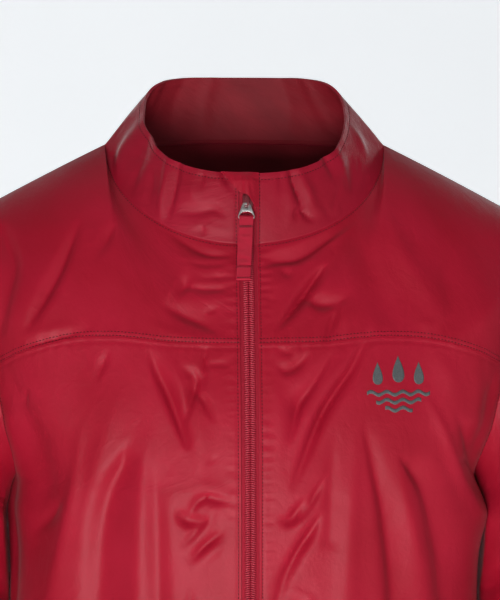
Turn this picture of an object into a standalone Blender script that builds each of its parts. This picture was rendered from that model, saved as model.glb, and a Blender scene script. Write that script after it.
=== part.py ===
"""Rain jacket, worn: a hollow garment on a general figure, arms down, zip closed.

Metres, +Z up.  The front faces -Y and the wearer's right is -X.  The origin lies midway
between the two neck points, where the shoulder seams meet the collar.

Sizes and tables are in millimetres.  Each cloth panel is a grid of points worked out from
the tables, and becomes a closed wall.  Panels that share a seam share its points, and each
stands back a little from it.
"""

import math

import bmesh
import bpy
import numpy as np

MM = 0.001

# ------------------------------------------------------------------ driving sizes, mm

WALL = 2.0                  # cloth wall
SEAM_INSET = 0.15           # each edge stands back this far from its seam
LAY_GAP = 0.3               # gap under a piece that lies on another

HEM_HEIGHT = -690.0
UNDERARM_HEIGHT = -250.0
TORSO_POWER = 2.5           # 2 is an ellipse, more is squarer

NECK_HALF_WIDTH = 104.0
NECK_FRONT_DEPTH = 78.0
NECK_FRONT_DROP = 75.5
NECK_BACK_DEPTH = 66.0
NECK_BACK_RISE = 6.0

SHOULDER_TIP_X = 225.0
SHOULDER_TIP_Y = 5.0
SHOULDER_SLOPE = 0.49
SHOULDER_SAG = 0.0003       # extra drop for each square millimetre outwards

COLLAR_TOP_HALF_WIDTH = 75.0
COLLAR_TOP_FRONT_DEPTH = 71.0
COLLAR_TOP_BACK_DEPTH = 60.0
COLLAR_TOP_POWER = 2.4
COLLAR_LEAN_BACK = 0.035    # share of the top edge by which the sides lean back
COLLAR_BOW = 1.5            # outward bow at half height

ZIP_EDGE = 6.5              # cloth edge from the middle of the zip
ZIP_CHAIN_HALF_WIDTH = 3.0
ZIP_CHAIN_THICKNESS = 1.6
ZIP_TAPE_HALF_WIDTH = 12.0
ZIP_TAPE_THICKNESS = 1.0
ZIP_TAPE_SPLIT = 0.15       # half the gap between the two tapes
ZIP_BOX_WIDTH = 8.0
ZIP_BOX_HEIGHT = 9.0

SLIDER_HEIGHT = -45.0       # height of its middle
SLIDER_WIDTH = 7.6
SLIDER_LENGTH = 9.6
SLIDER_FACE = 1.9           # front face, out from the cloth
SLIDER_ROUND = 0.6
BRIDGE_LENGTH = 8.0
BRIDGE_THICKNESS = 1.1
BRIDGE_WINDOW = 1.9         # clear height under the bridge
PULLER_WIRE = 1.3
PULLER_SHIFT = -1.2         # the ring hangs a little to one side in the bridge
PULLER_BAIL_LENGTH = 10.5   # top bar to foot bar
BAIL_TOP_WIDTH = 3.4
BAIL_FOOT_WIDTH = 12.0
BAIL_CORNER = 0.9
PULL_TAPE_WIDTH = 10.2
PULL_TAPE_LENGTH = 46.0
PULL_TAPE_THICKNESS = 2.2
PULL_TAPE_PLY = 1.0
PULL_TAPE_DRIFT = -2.6      # sideways, from the ring to its end
PULL_TAPE_CLEARANCE = 0.9   # between its end and the cloth behind

GARAGE_LEFT = -19.0
GARAGE_RIGHT = 8.0
GARAGE_FOOT_WIDTH = 2.2
GARAGE_REACH = 0.49         # share of the collar's height that it covers
GARAGE_WALL = 1.2
GARAGE_EDGE_POWER = 0.7     # 1 is a straight edge, less is hollow

COLUMN_BEND = 0.78          # columns up to this share keep their place in every row,
COLUMN_BEND_ARC = 0.62      # at this share of the section; the rest follow the armhole
FOLD_END = 2.4              # a fold fades past its ends over this many half widths
BICEP_TILT = 14.0           # the first sleeve ring: outer side up, inner side down

# ------------------------------------------------------------------ grid counts

NECK_FRONT_COLUMNS = 8
NECK_BACK_COLUMNS = 6
SHOULDER_COLUMNS = 9
YOKE_ROWS = 8
CAP_ROWS = 8
COLLAR_ROWS = 5
GARAGE_ROWS = 8
GARAGE_COLUMNS = 9

# ------------------------------------------------------------------ tables, mm

# torso sections: height, half width, front depth, back depth
TORSO = (
    (-690.0, 178.0, 129.0, 118.0),
    (-560.0, 176.0, 130.0, 116.0),
    (-420.0, 171.0, 131.0, 116.0),
    (-320.0, 169.0, 132.0, 121.0),
    (-250.0, 173.0, 131.0, 127.0),
    (-200.0, 180.0, 124.0, 129.0),
    (-150.0, 189.0, 109.0, 126.0),
    (-120.0, 196.0, 97.0, 118.0),
)

# armhole: height, front edge's distance and back edge's distance from the side plane
ARMHOLE = (
    (-250.0, 0.0, 0.0),
    (-243.0, 26.0, 28.0),
    (-228.0, 44.0, 50.0),
    (-205.0, 55.0, 66.0),
    (-180.0, 60.0, 76.0),
    (-150.0, 64.0, 82.0),
    (-120.0, 65.0, 82.0),
)

# yoke seam: distance from the zip, height
YOKE_SEAM = (
    (0.0, -147.0),
    (50.0, -146.0),
    (95.0, -142.0),
    (130.0, -144.0),
    (160.0, -153.0),
    (185.0, -166.0),
)
BACK_LINE_HEIGHT = -150.0

# heights of the rows from the hem to the underarm
LOWER_ROWS = (-690.0, -678.0, -640.0, -590.0, -540.0, -490.0, -440.0,
              -395.0, -355.0, -325.0, -300.0, -275.0, -250.0)
# shares of the way from the underarm to the yoke seam
ARMHOLE_ROWS = (0.1, 0.28, 0.5, 0.75, 1.0)

# direction of the cloth where it reaches the neckline and the shoulder seam:
# share of the top edge (0 zip, 1 neck point, 2 shoulder tip), x, y, z
FRONT_ARRIVAL = (
    (0.0, 0.0, 0.38, 0.92),
    (0.4, 0.08, 0.52, 0.84),
    (0.7, 0.08, 0.74, 0.66),
    (1.0, 0.04, 0.92, 0.38),
    (1.4, 0.0, 0.97, 0.22),
    (2.0, 0.0, 1.0, 0.10),
)
BACK_ARRIVAL = (
    (0.0, 0.0, -0.62, 0.78),
    (0.5, 0.04, -0.76, 0.64),
    (1.0, 0.04, -0.95, 0.24),
    (1.4, 0.0, -1.0, 0.02),
    (2.0, 0.0, -1.0, -0.10),
)

# collar top edge: distance behind the neck points (front is negative), height
COLLAR_TOP_EDGE = (
    (-71.0, -24.5),
    (-59.0, -16.5),
    (-46.0, -7.5),
    (-29.0, 5.5),
    (0.0, 26.0),
    (35.0, 48.0),
    (52.0, 54.0),
    (60.0, 55.0),
)

# how far the zip flap stands off the collar: x, lift
GARAGE_LIFT = (
    (-19.0, 0.0),
    (-10.0, 0.6),
    (-4.5, 2.9),
    (-1.5, 4.9),
    (1.5, 4.9),
    (4.2, 2.9),
    (7.0, 0.3),
    (8.0, 0.0),
)

# sleeve rings: height, centre x, centre y, half width, half depth
SLEEVE = (
    (-288.0, 243.0, 4.0, 66.0, 64.0),
    (-320.0, 247.0, 4.0, 65.0, 63.0),
    (-360.0, 253.0, 3.0, 62.5, 61.0),
    (-400.0, 260.0, 1.0, 59.5, 59.0),
    (-440.0, 266.0, -3.0, 56.5, 56.0),
    (-485.0, 271.0, -9.0, 54.0, 53.0),
    (-530.0, 275.0, -16.0, 51.0, 50.0),
    (-580.0, 279.0, -23.0, 48.0, 47.0),
    (-630.0, 283.0, -30.0, 44.0, 44.0),
    (-676.0, 286.0, -36.0, 39.0, 41.0),
    (-690.0, 287.0, -38.0, 38.0, 40.0),
)

# direction in which the sleeve leaves the armhole: share of the way from the shoulder
# tip down to the underarm, x, y (towards the front or back), z
CAP_LEAVING = (
    (0.0, 0.90, 0.00, -0.44),
    (0.25, 0.86, 0.10, -0.50),
    (0.55, 0.72, 0.16, -0.66),
    (0.85, 0.45, 0.12, -0.88),
    (1.0, 0.25, 0.00, -0.97),
)

# folds on the front: x and height of one end, x and height of the other, half width,
# depth (below zero is a trough)
FRONT_FOLDS = (
    (-123.0, -62.0, -135.0, -102.0, 9.0, -3.5),
    (-135.0, -102.0, -153.0, -131.0, 9.0, -3.5),
    (-95.0, -62.0, -107.0, -84.0, 9.0, -2.2),
    (52.0, -92.0, 20.0, -135.0, 9.0, -3.2),
    (9.0, -90.0, 49.0, -80.0, 8.0, -2.4),
    (49.0, -80.0, 73.0, -64.0, 8.0, -2.4),
    (96.0, -54.0, 121.0, -104.0, 12.0, 2.8),
    (-68.0, -158.0, -44.0, -218.0, 10.0, -4.0),
    (-90.0, -238.0, -105.0, -290.0, 15.0, -5.5),
    (-105.0, -290.0, -112.0, -430.0, 18.0, -5.0),
    (-120.0, -240.0, -131.0, -290.0, 11.0, 3.6),
    (-131.0, -290.0, -136.0, -400.0, 12.0, 4.0),
    (-161.0, -175.0, -146.0, -246.0, 15.0, -5.0),
    (-41.0, -264.0, -10.0, -258.0, 9.0, -2.5),
    (-52.0, -300.0, -60.0, -480.0, 18.0, 4.0),
    (-70.0, -520.0, -76.0, -660.0, 22.0, -5.0),
    (-20.0, -380.0, -26.0, -620.0, 18.0, -3.5),
    (-118.0, -470.0, -124.0, -680.0, 22.0, 6.0),
    (82.0, -141.0, 47.0, -205.0, 10.0, -4.5),
    (47.0, -205.0, 32.0, -246.0, 9.0, -4.0),
    (52.0, -241.0, 37.0, -268.0, 8.0, -3.0),
    (75.0, -222.0, 75.0, -300.0, 12.0, 3.2),
    (75.0, -300.0, 82.0, -460.0, 17.0, 4.0),
    (109.0, -229.0, 124.0, -284.0, 12.0, -4.0),
    (124.0, -284.0, 128.0, -430.0, 17.0, -5.0),
    (125.0, -184.0, 144.0, -232.0, 10.0, 4.0),
    (144.0, -232.0, 163.0, -290.0, 10.0, 4.0),
    (150.0, -204.0, 160.0, -232.0, 10.0, -3.5),
    (36.0, -330.0, 40.0, -560.0, 20.0, -4.0),
    (66.0, -540.0, 72.0, -680.0, 22.0, 5.0),
    (108.0, -500.0, 112.0, -650.0, 22.0, -5.0),
)

# folds on the collar, columns as above
COLLAR_FOLDS = (
    (-75.0, 12.0, -92.0, -30.0, 8.0, 2.4),
    (-57.0, -14.0, -60.0, -58.0, 6.0, 1.8),
    (-49.0, -18.0, -57.0, -57.0, 6.0, -2.0),
    (30.0, -27.0, 40.0, -58.0, 6.0, -2.6),
    (54.0, -10.0, 60.0, -31.0, 7.0, -1.8),
    (74.0, 2.0, 82.0, -14.0, 7.0, 1.6),
)

# folds on the back, columns as above
BACK_FOLDS = (
    (-150.0, -150.0, -95.0, -215.0, 14.0, -4.5),
    (150.0, -158.0, 88.0, -205.0, 14.0, -4.0),
    (-128.0, -250.0, -120.0, -470.0, 18.0, 5.0),
    (-86.0, -300.0, -80.0, -560.0, 20.0, -5.0),
    (-30.0, -340.0, -26.0, -640.0, 24.0, 4.5),
    (28.0, -280.0, 34.0, -520.0, 20.0, -4.5),
    (84.0, -320.0, 88.0, -640.0, 22.0, 5.0),
    (132.0, -270.0, 128.0, -500.0, 18.0, -4.5),
)

# folds on a sleeve: turn from the outer side towards the front in degrees, height,
# half turn, half height, depth
SLEEVE_FOLDS = (
    (60.0, -190.0, 26.0, 26.0, -5.0),
    (120.0, -232.0, 30.0, 14.0, -4.0),
    (-70.0, -205.0, 26.0, 24.0, -5.0),
    (150.0, -330.0, 42.0, 14.0, -4.5),
    (95.0, -385.0, 48.0, 13.0, -5.0),
    (105.0, -425.0, 52.0, 12.0, -5.5),
    (60.0, -408.0, 36.0, 12.0, 3.0),
    (125.0, -462.0, 46.0, 12.0, -4.5),
    (-90.0, -440.0, 44.0, 22.0, 4.0),
    (20.0, -520.0, 60.0, 16.0, -3.5),
    (170.0, -555.0, 44.0, 14.0, -3.5),
    (-60.0, -590.0, 52.0, 15.0, -3.5),
    (80.0, -628.0, 48.0, 12.0, -3.5),
    (-150.0, -650.0, 44.0, 11.0, -3.0),
)

# ------------------------------------------------------------------ materials

CLOTH_RED = (0.27, 0.012, 0.024)
TAPE_RED = (0.16, 0.008, 0.016)
METAL_SILVER = (0.62, 0.58, 0.56)


def make_material(name, colour, roughness, metallic):
    material = bpy.data.materials.new(name)
    material.use_nodes = True
    shader = material.node_tree.nodes["Principled BSDF"]
    shader.inputs["Base Color"].default_value = (*colour, 1.0)
    shader.inputs["Roughness"].default_value = roughness
    shader.inputs["Metallic"].default_value = metallic
    return material


# ------------------------------------------------------------------ small geometry tools

def smooth_row(table, key):
    """Values of a table at a key, on a smooth curve through its rows."""
    keys = [row[0] for row in table]
    key = min(max(key, keys[0]), keys[-1])
    last = len(keys) - 2
    index = min(max(int(np.searchsorted(keys, key, side="right")) - 1, 0), last)
    span = keys[index + 1] - keys[index]
    share = (key - keys[index]) / span
    values = []
    for column in range(1, len(table[0])):
        here = table[index][column]
        there = table[index + 1][column]
        leave = slope_at(table, index, column) * span
        arrive = slope_at(table, index + 1, column) * span
        values.append(hermite(here, leave, there, arrive, share))
    return values


def slope_at(table, index, column):
    """Slope of a table's column at a row, from the rows on each side."""
    low = max(index - 1, 0)
    high = min(index + 1, len(table) - 1)
    return (table[high][column] - table[low][column]) / (table[high][0] - table[low][0])


def hermite(start, leave, end, arrive, share):
    """Point on the cubic that leaves start and arrives at end with the given tangents."""
    square = share * share
    cube = square * share
    from_start = (2 * cube - 3 * square + 1) * start + (cube - 2 * square + share) * leave
    return from_start + (3 * square - 2 * cube) * end + (cube - square) * arrive


def ease(value, low, high):
    """0 below low, 1 above high, and a soft step between."""
    share = min(max((value - low) / (high - low), 0.0), 1.0)
    return share * share * (3 - 2 * share)


def unit(vector):
    return vector / max(float(np.linalg.norm(vector)), 1e-9)


def spread_along(points):
    """Share of the whole length at each point of a polyline."""
    steps = np.linalg.norm(np.diff(points, axis=0), axis=1)
    lengths = np.concatenate(([0.0], np.cumsum(steps)))
    return lengths / lengths[-1]


# ------------------------------------------------------------------ torso surface

def section_point(height, share, is_front):
    """Point of the torso at a height, at a share of the way from the middle to its edge."""
    half_width, front, back = smooth_row(TORSO, height)
    depth = front if is_front else back
    turn = np.linspace(0.0, math.pi / 2, 65)
    across = half_width * np.sin(turn) ** (2 / TORSO_POWER)
    deep = depth * np.cos(turn) ** (2 / TORSO_POWER)
    along = spread_along(np.column_stack((across, deep)))
    start = np.interp(ZIP_EDGE, across, along) if is_front else 0.0
    front_edge, back_edge = smooth_row(ARMHOLE, height)
    edge = max(front_edge if is_front else back_edge, 0.0)
    end = np.interp(-edge, -deep, along)
    middle = start + (COLUMN_BEND_ARC - start) * min(share / COLUMN_BEND, 1.0)
    place = middle + (end - middle) * max(share - COLUMN_BEND, 0.0) / (1.0 - COLUMN_BEND)
    x = float(np.interp(place, along, across))
    y = float(np.interp(place, along, deep))
    return np.array((x, -y if is_front else y, height))


def top_point(step, is_front):
    """Point of the top edge: step 0 at the middle, 1 at the neck point, 2 at the tip."""
    if step <= 1.0:
        first = math.asin(ZIP_EDGE / NECK_HALF_WIDTH) if is_front else 0.0
        turn = first + (math.pi / 2 - first) * step
        x = NECK_HALF_WIDTH * math.sin(turn)
        if is_front:
            return np.array((x, -NECK_FRONT_DEPTH * math.cos(turn), -NECK_FRONT_DROP * math.cos(turn)))
        return np.array((x, NECK_BACK_DEPTH * math.cos(turn), NECK_BACK_RISE * math.cos(turn)))
    share = step - 1.0
    out = (SHOULDER_TIP_X - NECK_HALF_WIDTH) * share
    drop = SHOULDER_SLOPE * out + SHOULDER_SAG * out * out
    return np.array((NECK_HALF_WIDTH + out, SHOULDER_TIP_Y * share, -drop))


def top_steps(is_front):
    neck = NECK_FRONT_COLUMNS if is_front else NECK_BACK_COLUMNS
    steps = [column / neck for column in range(neck)]
    return steps + [1.0 + column / SHOULDER_COLUMNS for column in range(SHOULDER_COLUMNS + 1)]


def line_height(x, is_front):
    """Height of the yoke seam on the front, or of the same row on the back."""
    return smooth_row(YOKE_SEAM, abs(x))[0] if is_front else BACK_LINE_HEIGHT


def lower_grid(is_front):
    """Rows of points from the hem up to the yoke seam, on the side of +X."""
    columns = len(top_steps(is_front)) - 1
    rows = []
    for height in LOWER_ROWS:
        rows.append([section_point(height, column / columns, is_front) for column in range(columns + 1)])
    for rise in ARMHOLE_ROWS:
        row = []
        for column in range(columns + 1):
            share = column / columns
            seam_height = line_height(rows[-1][column][0], is_front)
            height = UNDERARM_HEIGHT + (seam_height - UNDERARM_HEIGHT) * rise
            row.append(section_point(height, share, is_front))
        rows.append(row)
    return np.array(rows)


def upper_grid(lower, is_front):
    """Rows of points from the yoke seam up to the neckline and the shoulder seam."""
    steps = top_steps(is_front)
    columns = len(steps) - 1
    arrival = FRONT_ARRIVAL if is_front else BACK_ARRIVAL
    rows = []
    for row in range(YOKE_ROWS + 1):
        points = []
        for column, step in enumerate(steps):
            start = lower[-1][column]
            end = top_point(step, is_front)
            share = column / columns
            below = section_point(start[2] - 8.0, share, is_front)
            reach = float(np.linalg.norm(end - start))
            leave = unit(start - below) * reach
            arrive = unit(np.array(smooth_row(arrival, step))) * reach
            points.append(hermite(start, leave, end, arrive, row / YOKE_ROWS))
        rows.append(points)
    return np.array(rows)


# ------------------------------------------------------------------ folds

def fold_height(x, z, folds):
    """Sum of the folds at a place, each a soft trough or ridge that fades at its ends."""
    total = 0.0
    for x_start, z_start, x_end, z_end, half_width, depth in folds:
        along = np.array((x_end - x_start, z_end - z_start))
        length = float(np.hypot(*along))
        along = along / length
        offset = np.array((x - x_start, z - z_start))
        run = float(offset @ along)
        side = float(offset[0] * along[1] - offset[1] * along[0])
        past = max(-run, run - length, 0.0)
        distance = math.hypot(side / half_width, past / (FOLD_END * half_width))
        total += depth * math.exp(-distance * distance)
    return total


def folded(grid, folds, facing):
    """The grid moved along its normals by the folds; facing is -1 in front, 1 behind."""
    normals = grid_normals(grid)
    moved = grid.copy()
    for row in range(grid.shape[0]):
        for column in range(grid.shape[1]):
            x, y, z = grid[row][column]
            fade = ease(y * facing, 5.0, 40.0)
            if facing < 0.0:
                fade *= ease(abs(x), 14.0, 34.0)
            moved[row][column] += normals[row][column] * fade * fold_height(x, z, folds)
    return moved


def grid_normals(grid):
    """Outward normals of a grid whose rows go up and whose columns go to +X."""
    down_rows = np.gradient(grid, axis=0)
    over_columns = np.gradient(grid, axis=1)
    normals = np.cross(over_columns, down_rows)
    lengths = np.linalg.norm(normals, axis=2, keepdims=True)
    normals = normals / np.maximum(lengths, 1e-9)
    middle = normals[grid.shape[0] // 2][grid.shape[1] // 2]
    outward = grid[grid.shape[0] // 2][grid.shape[1] // 2] * np.array((1.0, 1.0, 0.0))
    return normals if float(middle @ outward) > 0 else -normals


def mirrored(grid):
    """The grid reflected to the other side, with its columns turned round."""
    return grid[:, ::-1] * np.array((-1.0, 1.0, 1.0))


# ------------------------------------------------------------------ panels

def torso_panels():
    """Front, front yoke and back grids; columns run from -X to +X."""
    split = len(LOWER_ROWS) + len(ARMHOLE_ROWS)
    panels = {}
    lower = lower_grid(True)
    whole = np.concatenate((lower, upper_grid(lower, True)[1:]))
    for side, grid in (("left", whole), ("right", mirrored(whole))):
        grid = folded(grid, FRONT_FOLDS, -1.0)
        panels["front_" + side] = grid[:split]
        panels["front_yoke_" + side] = grid[split - 1:]
    lower = lower_grid(False)
    whole = np.concatenate((lower, upper_grid(lower, False)[1:]))
    back = np.concatenate((mirrored(whole), whole[:, 1:]), axis=1)
    panels["back"] = folded(back, BACK_FOLDS, 1.0)
    return panels


def armhole_loop(panels, side):
    """Points from the shoulder tip down the front edge, then up the back edge to it."""
    edge = -1 if side == "left" else 0
    first = len(LOWER_ROWS) - 1
    front = np.concatenate((panels["front_" + side][first:, edge], panels["front_yoke_" + side][1:, edge]))
    back = panels["back"][first:, edge]
    return np.concatenate((front[::-1], back[1:]))[:-1]


def sleeve_grid(panels, side):
    """Rings from the armhole to the cuff; each row starts at the outer side, goes to the front."""
    sign = 1.0 if side == "left" else -1.0
    loop = armhole_loop(panels, side)
    count = len(loop)
    half = count // 2
    front_share = spread_along(loop[:half + 1])
    back_share = spread_along(np.concatenate((loop[half:], loop[:1])))
    turns = []
    for index in range(count):
        if index <= half:
            turns.append(math.pi * front_share[index])
        else:
            turns.append(math.pi * (1.0 + back_share[index - half]))
    rows = [loop]
    first_ring = [sleeve_point(SLEEVE[0], turn, sign, BICEP_TILT) for turn in turns]
    for row in range(1, CAP_ROWS + 1):
        points = []
        for index, turn in enumerate(turns):
            points.append(cap_point(loop[index], first_ring[index], turn, sign, row / CAP_ROWS))
        rows.append(np.array(points))
    for number, ring in enumerate(SLEEVE[1:]):
        tilt = BICEP_TILT * max(0.0, 1.0 - (number + 1) / 4)
        rows.append(np.array([sleeve_point(ring, turn, sign, tilt) for turn in turns]))
    return sleeve_folded(np.array(rows), turns)


def sleeve_point(ring, turn, sign, tilt):
    height, centre_x, centre_y, half_width, half_depth = ring
    x = centre_x + half_width * math.cos(turn)
    y = centre_y - half_depth * math.sin(turn)
    return np.array((x * sign, y, height + tilt * math.cos(turn)))


def cap_point(start, end, turn, sign, share):
    """Point of the sleeve cap on its way from the armhole to the first ring."""
    down = turn / math.pi
    facing = -1.0 if down <= 1.0 else 1.0
    down = down if down <= 1.0 else 2.0 - down
    x, y, z = smooth_row(CAP_LEAVING, down)
    reach = float(np.linalg.norm(end - start))
    leave = unit(np.array((x * sign, y * facing, z))) * reach
    arrive = unit(np.array((0.16 * sign, 0.0, -1.0))) * reach
    return hermite(start, leave, end, arrive, share)


def sleeve_folded(grid, turns):
    """The sleeve moved in and out by its folds, and left alone at the armhole and cuff."""
    moved = grid.copy()
    for row in range(1, grid.shape[0] - 2):
        centre = grid[row].mean(axis=0)
        fade = ease(row, 0.0, 3.0)
        for index, turn in enumerate(turns):
            point = grid[row][index]
            height = 0.0
            for fold_turn, fold_z, half_turn, half_height, depth in SLEEVE_FOLDS:
                around = (math.degrees(turn) - fold_turn + 180.0) % 360.0 - 180.0
                distance = math.hypot(around / half_turn, (point[2] - fold_z) / half_height)
                height += depth * math.exp(-distance * distance)
            outward = point - centre
            outward[2] = 0.0
            moved[row][index] = point + unit(outward) * height * fade
    return moved


def neckline(panels):
    """Neckline from the zip edge of the left front, round the back, to the right front."""
    left = panels["front_yoke_left"][-1][:NECK_FRONT_COLUMNS + 1]
    right = panels["front_yoke_right"][-1][-NECK_FRONT_COLUMNS - 1:]
    middle = len(panels["back"][0]) // 2
    back = panels["back"][-1][middle - NECK_BACK_COLUMNS:middle + NECK_BACK_COLUMNS + 1]
    return np.concatenate((left, back[::-1][1:], right[1:]))


def collar_top_curve():
    """The collar's top edge on the side of +X, from the zip edge to the middle of the back."""
    points = []
    for turn in np.linspace(0.0, math.pi, 129):
        power = 2 / COLLAR_TOP_POWER
        x = COLLAR_TOP_HALF_WIDTH * math.sin(turn) ** power
        depth = COLLAR_TOP_FRONT_DEPTH if turn < math.pi / 2 else COLLAR_TOP_BACK_DEPTH
        y = -math.copysign(depth * abs(math.cos(turn)) ** power, math.cos(turn))
        if x >= ZIP_EDGE or turn > 1.0:
            points.append((x, y, smooth_row(COLLAR_TOP_EDGE, y)[0]))
    points[0] = (ZIP_EDGE, points[0][1], points[0][2])
    return np.array(points)


def collar_grid(panels):
    """Rows from the neckline up; columns from the left zip edge round to the right one."""
    base = neckline(panels)
    count = len(base)
    half = count // 2
    share = spread_along(base[:half + 1])
    curve = collar_top_curve()
    along = spread_along(curve)
    top = np.zeros_like(base)
    for index in range(count):
        mirror_index = min(index, count - 1 - index)
        place = share[mirror_index]
        place = place + COLLAR_LEAN_BACK * math.sin(math.pi * place)
        point = [float(np.interp(place, along, curve[:, axis])) for axis in range(3)]
        point[0] = point[0] if index <= half else -point[0]
        top[index] = point
    top[half][0] = 0.0
    rows = []
    for row in range(COLLAR_ROWS + 1):
        rise = row / COLLAR_ROWS
        points = base + (top - base) * rise
        outward = points * np.array((1.0, 1.0, 0.0))
        outward = outward / np.linalg.norm(outward, axis=1, keepdims=True)
        rows.append(points + outward * COLLAR_BOW * 4 * rise * (1 - rise))
    grid = np.array(rows)
    moved = grid.copy()
    for row in range(1, COLLAR_ROWS + 1):
        for index in range(count):
            x, y, z = grid[row][index]
            outward = unit(np.array((x, y, 0.0)))
            fade = ease(-y, 5.0, 30.0) * ease(abs(x), 12.0, 26.0)
            moved[row][index] += outward * fade * fold_height(x, z, COLLAR_FOLDS)
    return moved


# ------------------------------------------------------------------ walls

def point_key(point):
    return tuple(int(round(value * 50.0)) for value in point)


def corner_normals(grid, closed, sign):
    """Sum of the normals of the faces round each point of a grid, by the point's place."""
    totals = {}
    rows, columns = grid.shape[:2]
    last = columns if closed else columns - 1
    for row in range(rows - 1):
        for column in range(last):
            right = (column + 1) % columns
            lower_left, lower_right = grid[row][column], grid[row][right]
            upper_right, upper_left = grid[row + 1][right], grid[row + 1][column]
            normal = np.cross(upper_right - lower_left, upper_left - lower_right) * sign
            for corner in (lower_left, lower_right, upper_right, upper_left):
                key = point_key(corner)
                totals[key] = totals.get(key, np.zeros(3)) + normal
    return totals


def add_totals(totals, more):
    for key, normal in more.items():
        totals[key] = totals.get(key, np.zeros(3)) + normal


def wall_normals(grid, own, shared):
    """Unit normals: those that the panels share, or the panel's own at a sharp crease."""
    normals = np.zeros_like(grid)
    for row in range(grid.shape[0]):
        for column in range(grid.shape[1]):
            key = point_key(grid[row][column])
            mine = unit(own[key])
            everyone = unit(shared[key])
            share = ease(float(mine @ everyone), 0.60, 0.85)
            normals[row][column] = unit(mine * (1.0 - share) + everyone * share)
    return normals


def inset_grid(grid, closed, free_edges):
    """The grid with each seam edge drawn back along the cloth by SEAM_INSET."""
    moved = grid.copy()
    for name, row, inner in (("bottom", 0, 1), ("top", -1, -2)):
        if name not in free_edges:
            for column in range(grid.shape[1]):
                moved[row][column] += unit(grid[inner][column] - grid[row][column]) * SEAM_INSET
    if closed:
        return moved
    for name, column, inner in (("start", 0, 1), ("end", -1, -2)):
        if name not in free_edges:
            for row in range(grid.shape[0]):
                moved[row][column] += unit(grid[row][inner] - grid[row][column]) * SEAM_INSET
    return moved


def wall_object(name, outer, inner, closed, material, collection):
    """A closed wall between an outer and an inner grid of points, in millimetres."""
    rows, columns = outer.shape[:2]
    span = columns + 1 if closed else columns
    bm = bmesh.new()
    place = bm.verts.layers.int.new("place")
    bmesh.ops.create_grid(bm, x_segments=span - 1, y_segments=rows - 1, size=1.0)
    order = sorted(bm.verts, key=lambda vert: (round(vert.co.y, 5), round(vert.co.x, 5)))
    for number, vert in enumerate(order):
        row, column = divmod(number, span)
        column = column % columns
        vert[place] = row * columns + column
        vert.co = outer[row][column] * MM
    if closed:
        bmesh.ops.remove_doubles(bm, verts=list(bm.verts), dist=1e-6)
    extruded = bmesh.ops.extrude_face_region(bm, geom=list(bm.faces))
    for item in extruded["geom"]:
        if isinstance(item, bmesh.types.BMVert):
            row, column = divmod(item[place], columns)
            item.co = inner[row][column] * MM
    bm.verts.layers.int.remove(place)
    return finish_mesh(name, bm, material, collection)


def finish_mesh(name, bm, material, collection):
    bmesh.ops.recalc_face_normals(bm, faces=list(bm.faces))
    if bm.calc_volume(signed=True) < 0.0:
        bmesh.ops.reverse_faces(bm, faces=list(bm.faces))
    mesh = bpy.data.meshes.new(name)
    bm.to_mesh(mesh)
    bm.free()
    mesh.materials.append(material)
    mesh.shade_smooth()
    mesh.set_sharp_from_angle(angle=math.radians(45.0))
    thing = bpy.data.objects.new(name, mesh)
    collection.objects.link(thing)
    return thing


def cloth_layout():
    """Every cloth panel: its grid, whether it is a tube, its turn and its free edges."""
    panels = torso_panels()
    layout = {}
    for side, zip_edge in (("right", "end"), ("left", "start")):
        layout["front_" + side] = (panels["front_" + side], False, 1, ("bottom", zip_edge))
        layout["front_yoke_" + side] = (panels["front_yoke_" + side], False, 1, (zip_edge,))
    layout["back"] = (panels["back"], False, -1, ("bottom",))
    for side, sign in (("right", -1), ("left", 1)):
        layout["sleeve_" + side] = (sleeve_grid(panels, side), True, sign, ("top",))
    layout["collar"] = (collar_grid(panels), False, 1, ("top", "start", "end"))
    return layout


def build_cloth(layout, material, collection):
    owns = {name: corner_normals(*entry[:3]) for name, entry in layout.items()}
    shared = {}
    for own in owns.values():
        add_totals(shared, own)
    for name, (grid, closed, sign, free_edges) in layout.items():
        normals = wall_normals(grid, owns[name], shared)
        outer = inset_grid(grid, closed, free_edges)
        inner = inset_grid(grid - normals * WALL, closed, free_edges)
        wall_object(name, outer, inner, closed, material, collection)


# ------------------------------------------------------------------ zip

def zip_rows(layout, side):
    """Rows of the two points nearest the zip, from the hem to the top of the collar."""
    columns = (0, 1) if side == "left" else (-1, -2)
    rows = []
    for number, name in enumerate(("front_" + side, "front_yoke_" + side, "collar")):
        grid = layout[name][0]
        first = 0 if number == 0 else 1
        rows.extend([[grid[row][column] for column in columns] for row in range(first, len(grid))])
    return np.array(rows)


def zip_frame(rows):
    """Middle points of the zip, and the outward direction at each of them."""
    middle = rows[:, 0] * np.array((0.0, 1.0, 1.0))
    along = np.gradient(middle, axis=0)
    outward = np.cross(np.array((1.0, 0.0, 0.0)), along)
    outward = outward / np.linalg.norm(outward, axis=1, keepdims=True)
    return middle, outward


def build_zip_tape(layout, side, material, collection):
    rows = zip_rows(layout, side)
    middle, outward = zip_frame(rows)
    sign = 1.0 if side == "left" else -1.0
    first = middle + np.array((sign * ZIP_TAPE_SPLIT, 0.0, 0.0))
    reach = (ZIP_TAPE_HALF_WIDTH - ZIP_EDGE) / np.abs(rows[:, 1, 0] - rows[:, 0, 0])
    last = rows[:, 0] + (rows[:, 1] - rows[:, 0]) * reach[:, None]
    grid = np.stack((first, rows[:, 0], last), axis=1)
    outer = grid - outward[:, None] * (WALL + LAY_GAP)
    inner = outer - outward[:, None] * ZIP_TAPE_THICKNESS
    wall_object("zip_tape_" + side, outer, inner, False, material, collection)


def line_at_height(points, height):
    """Point of a rising line at a height."""
    heights = points[:, 2]
    return np.array([float(np.interp(height, heights, points[:, axis])) for axis in range(3)])


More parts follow.
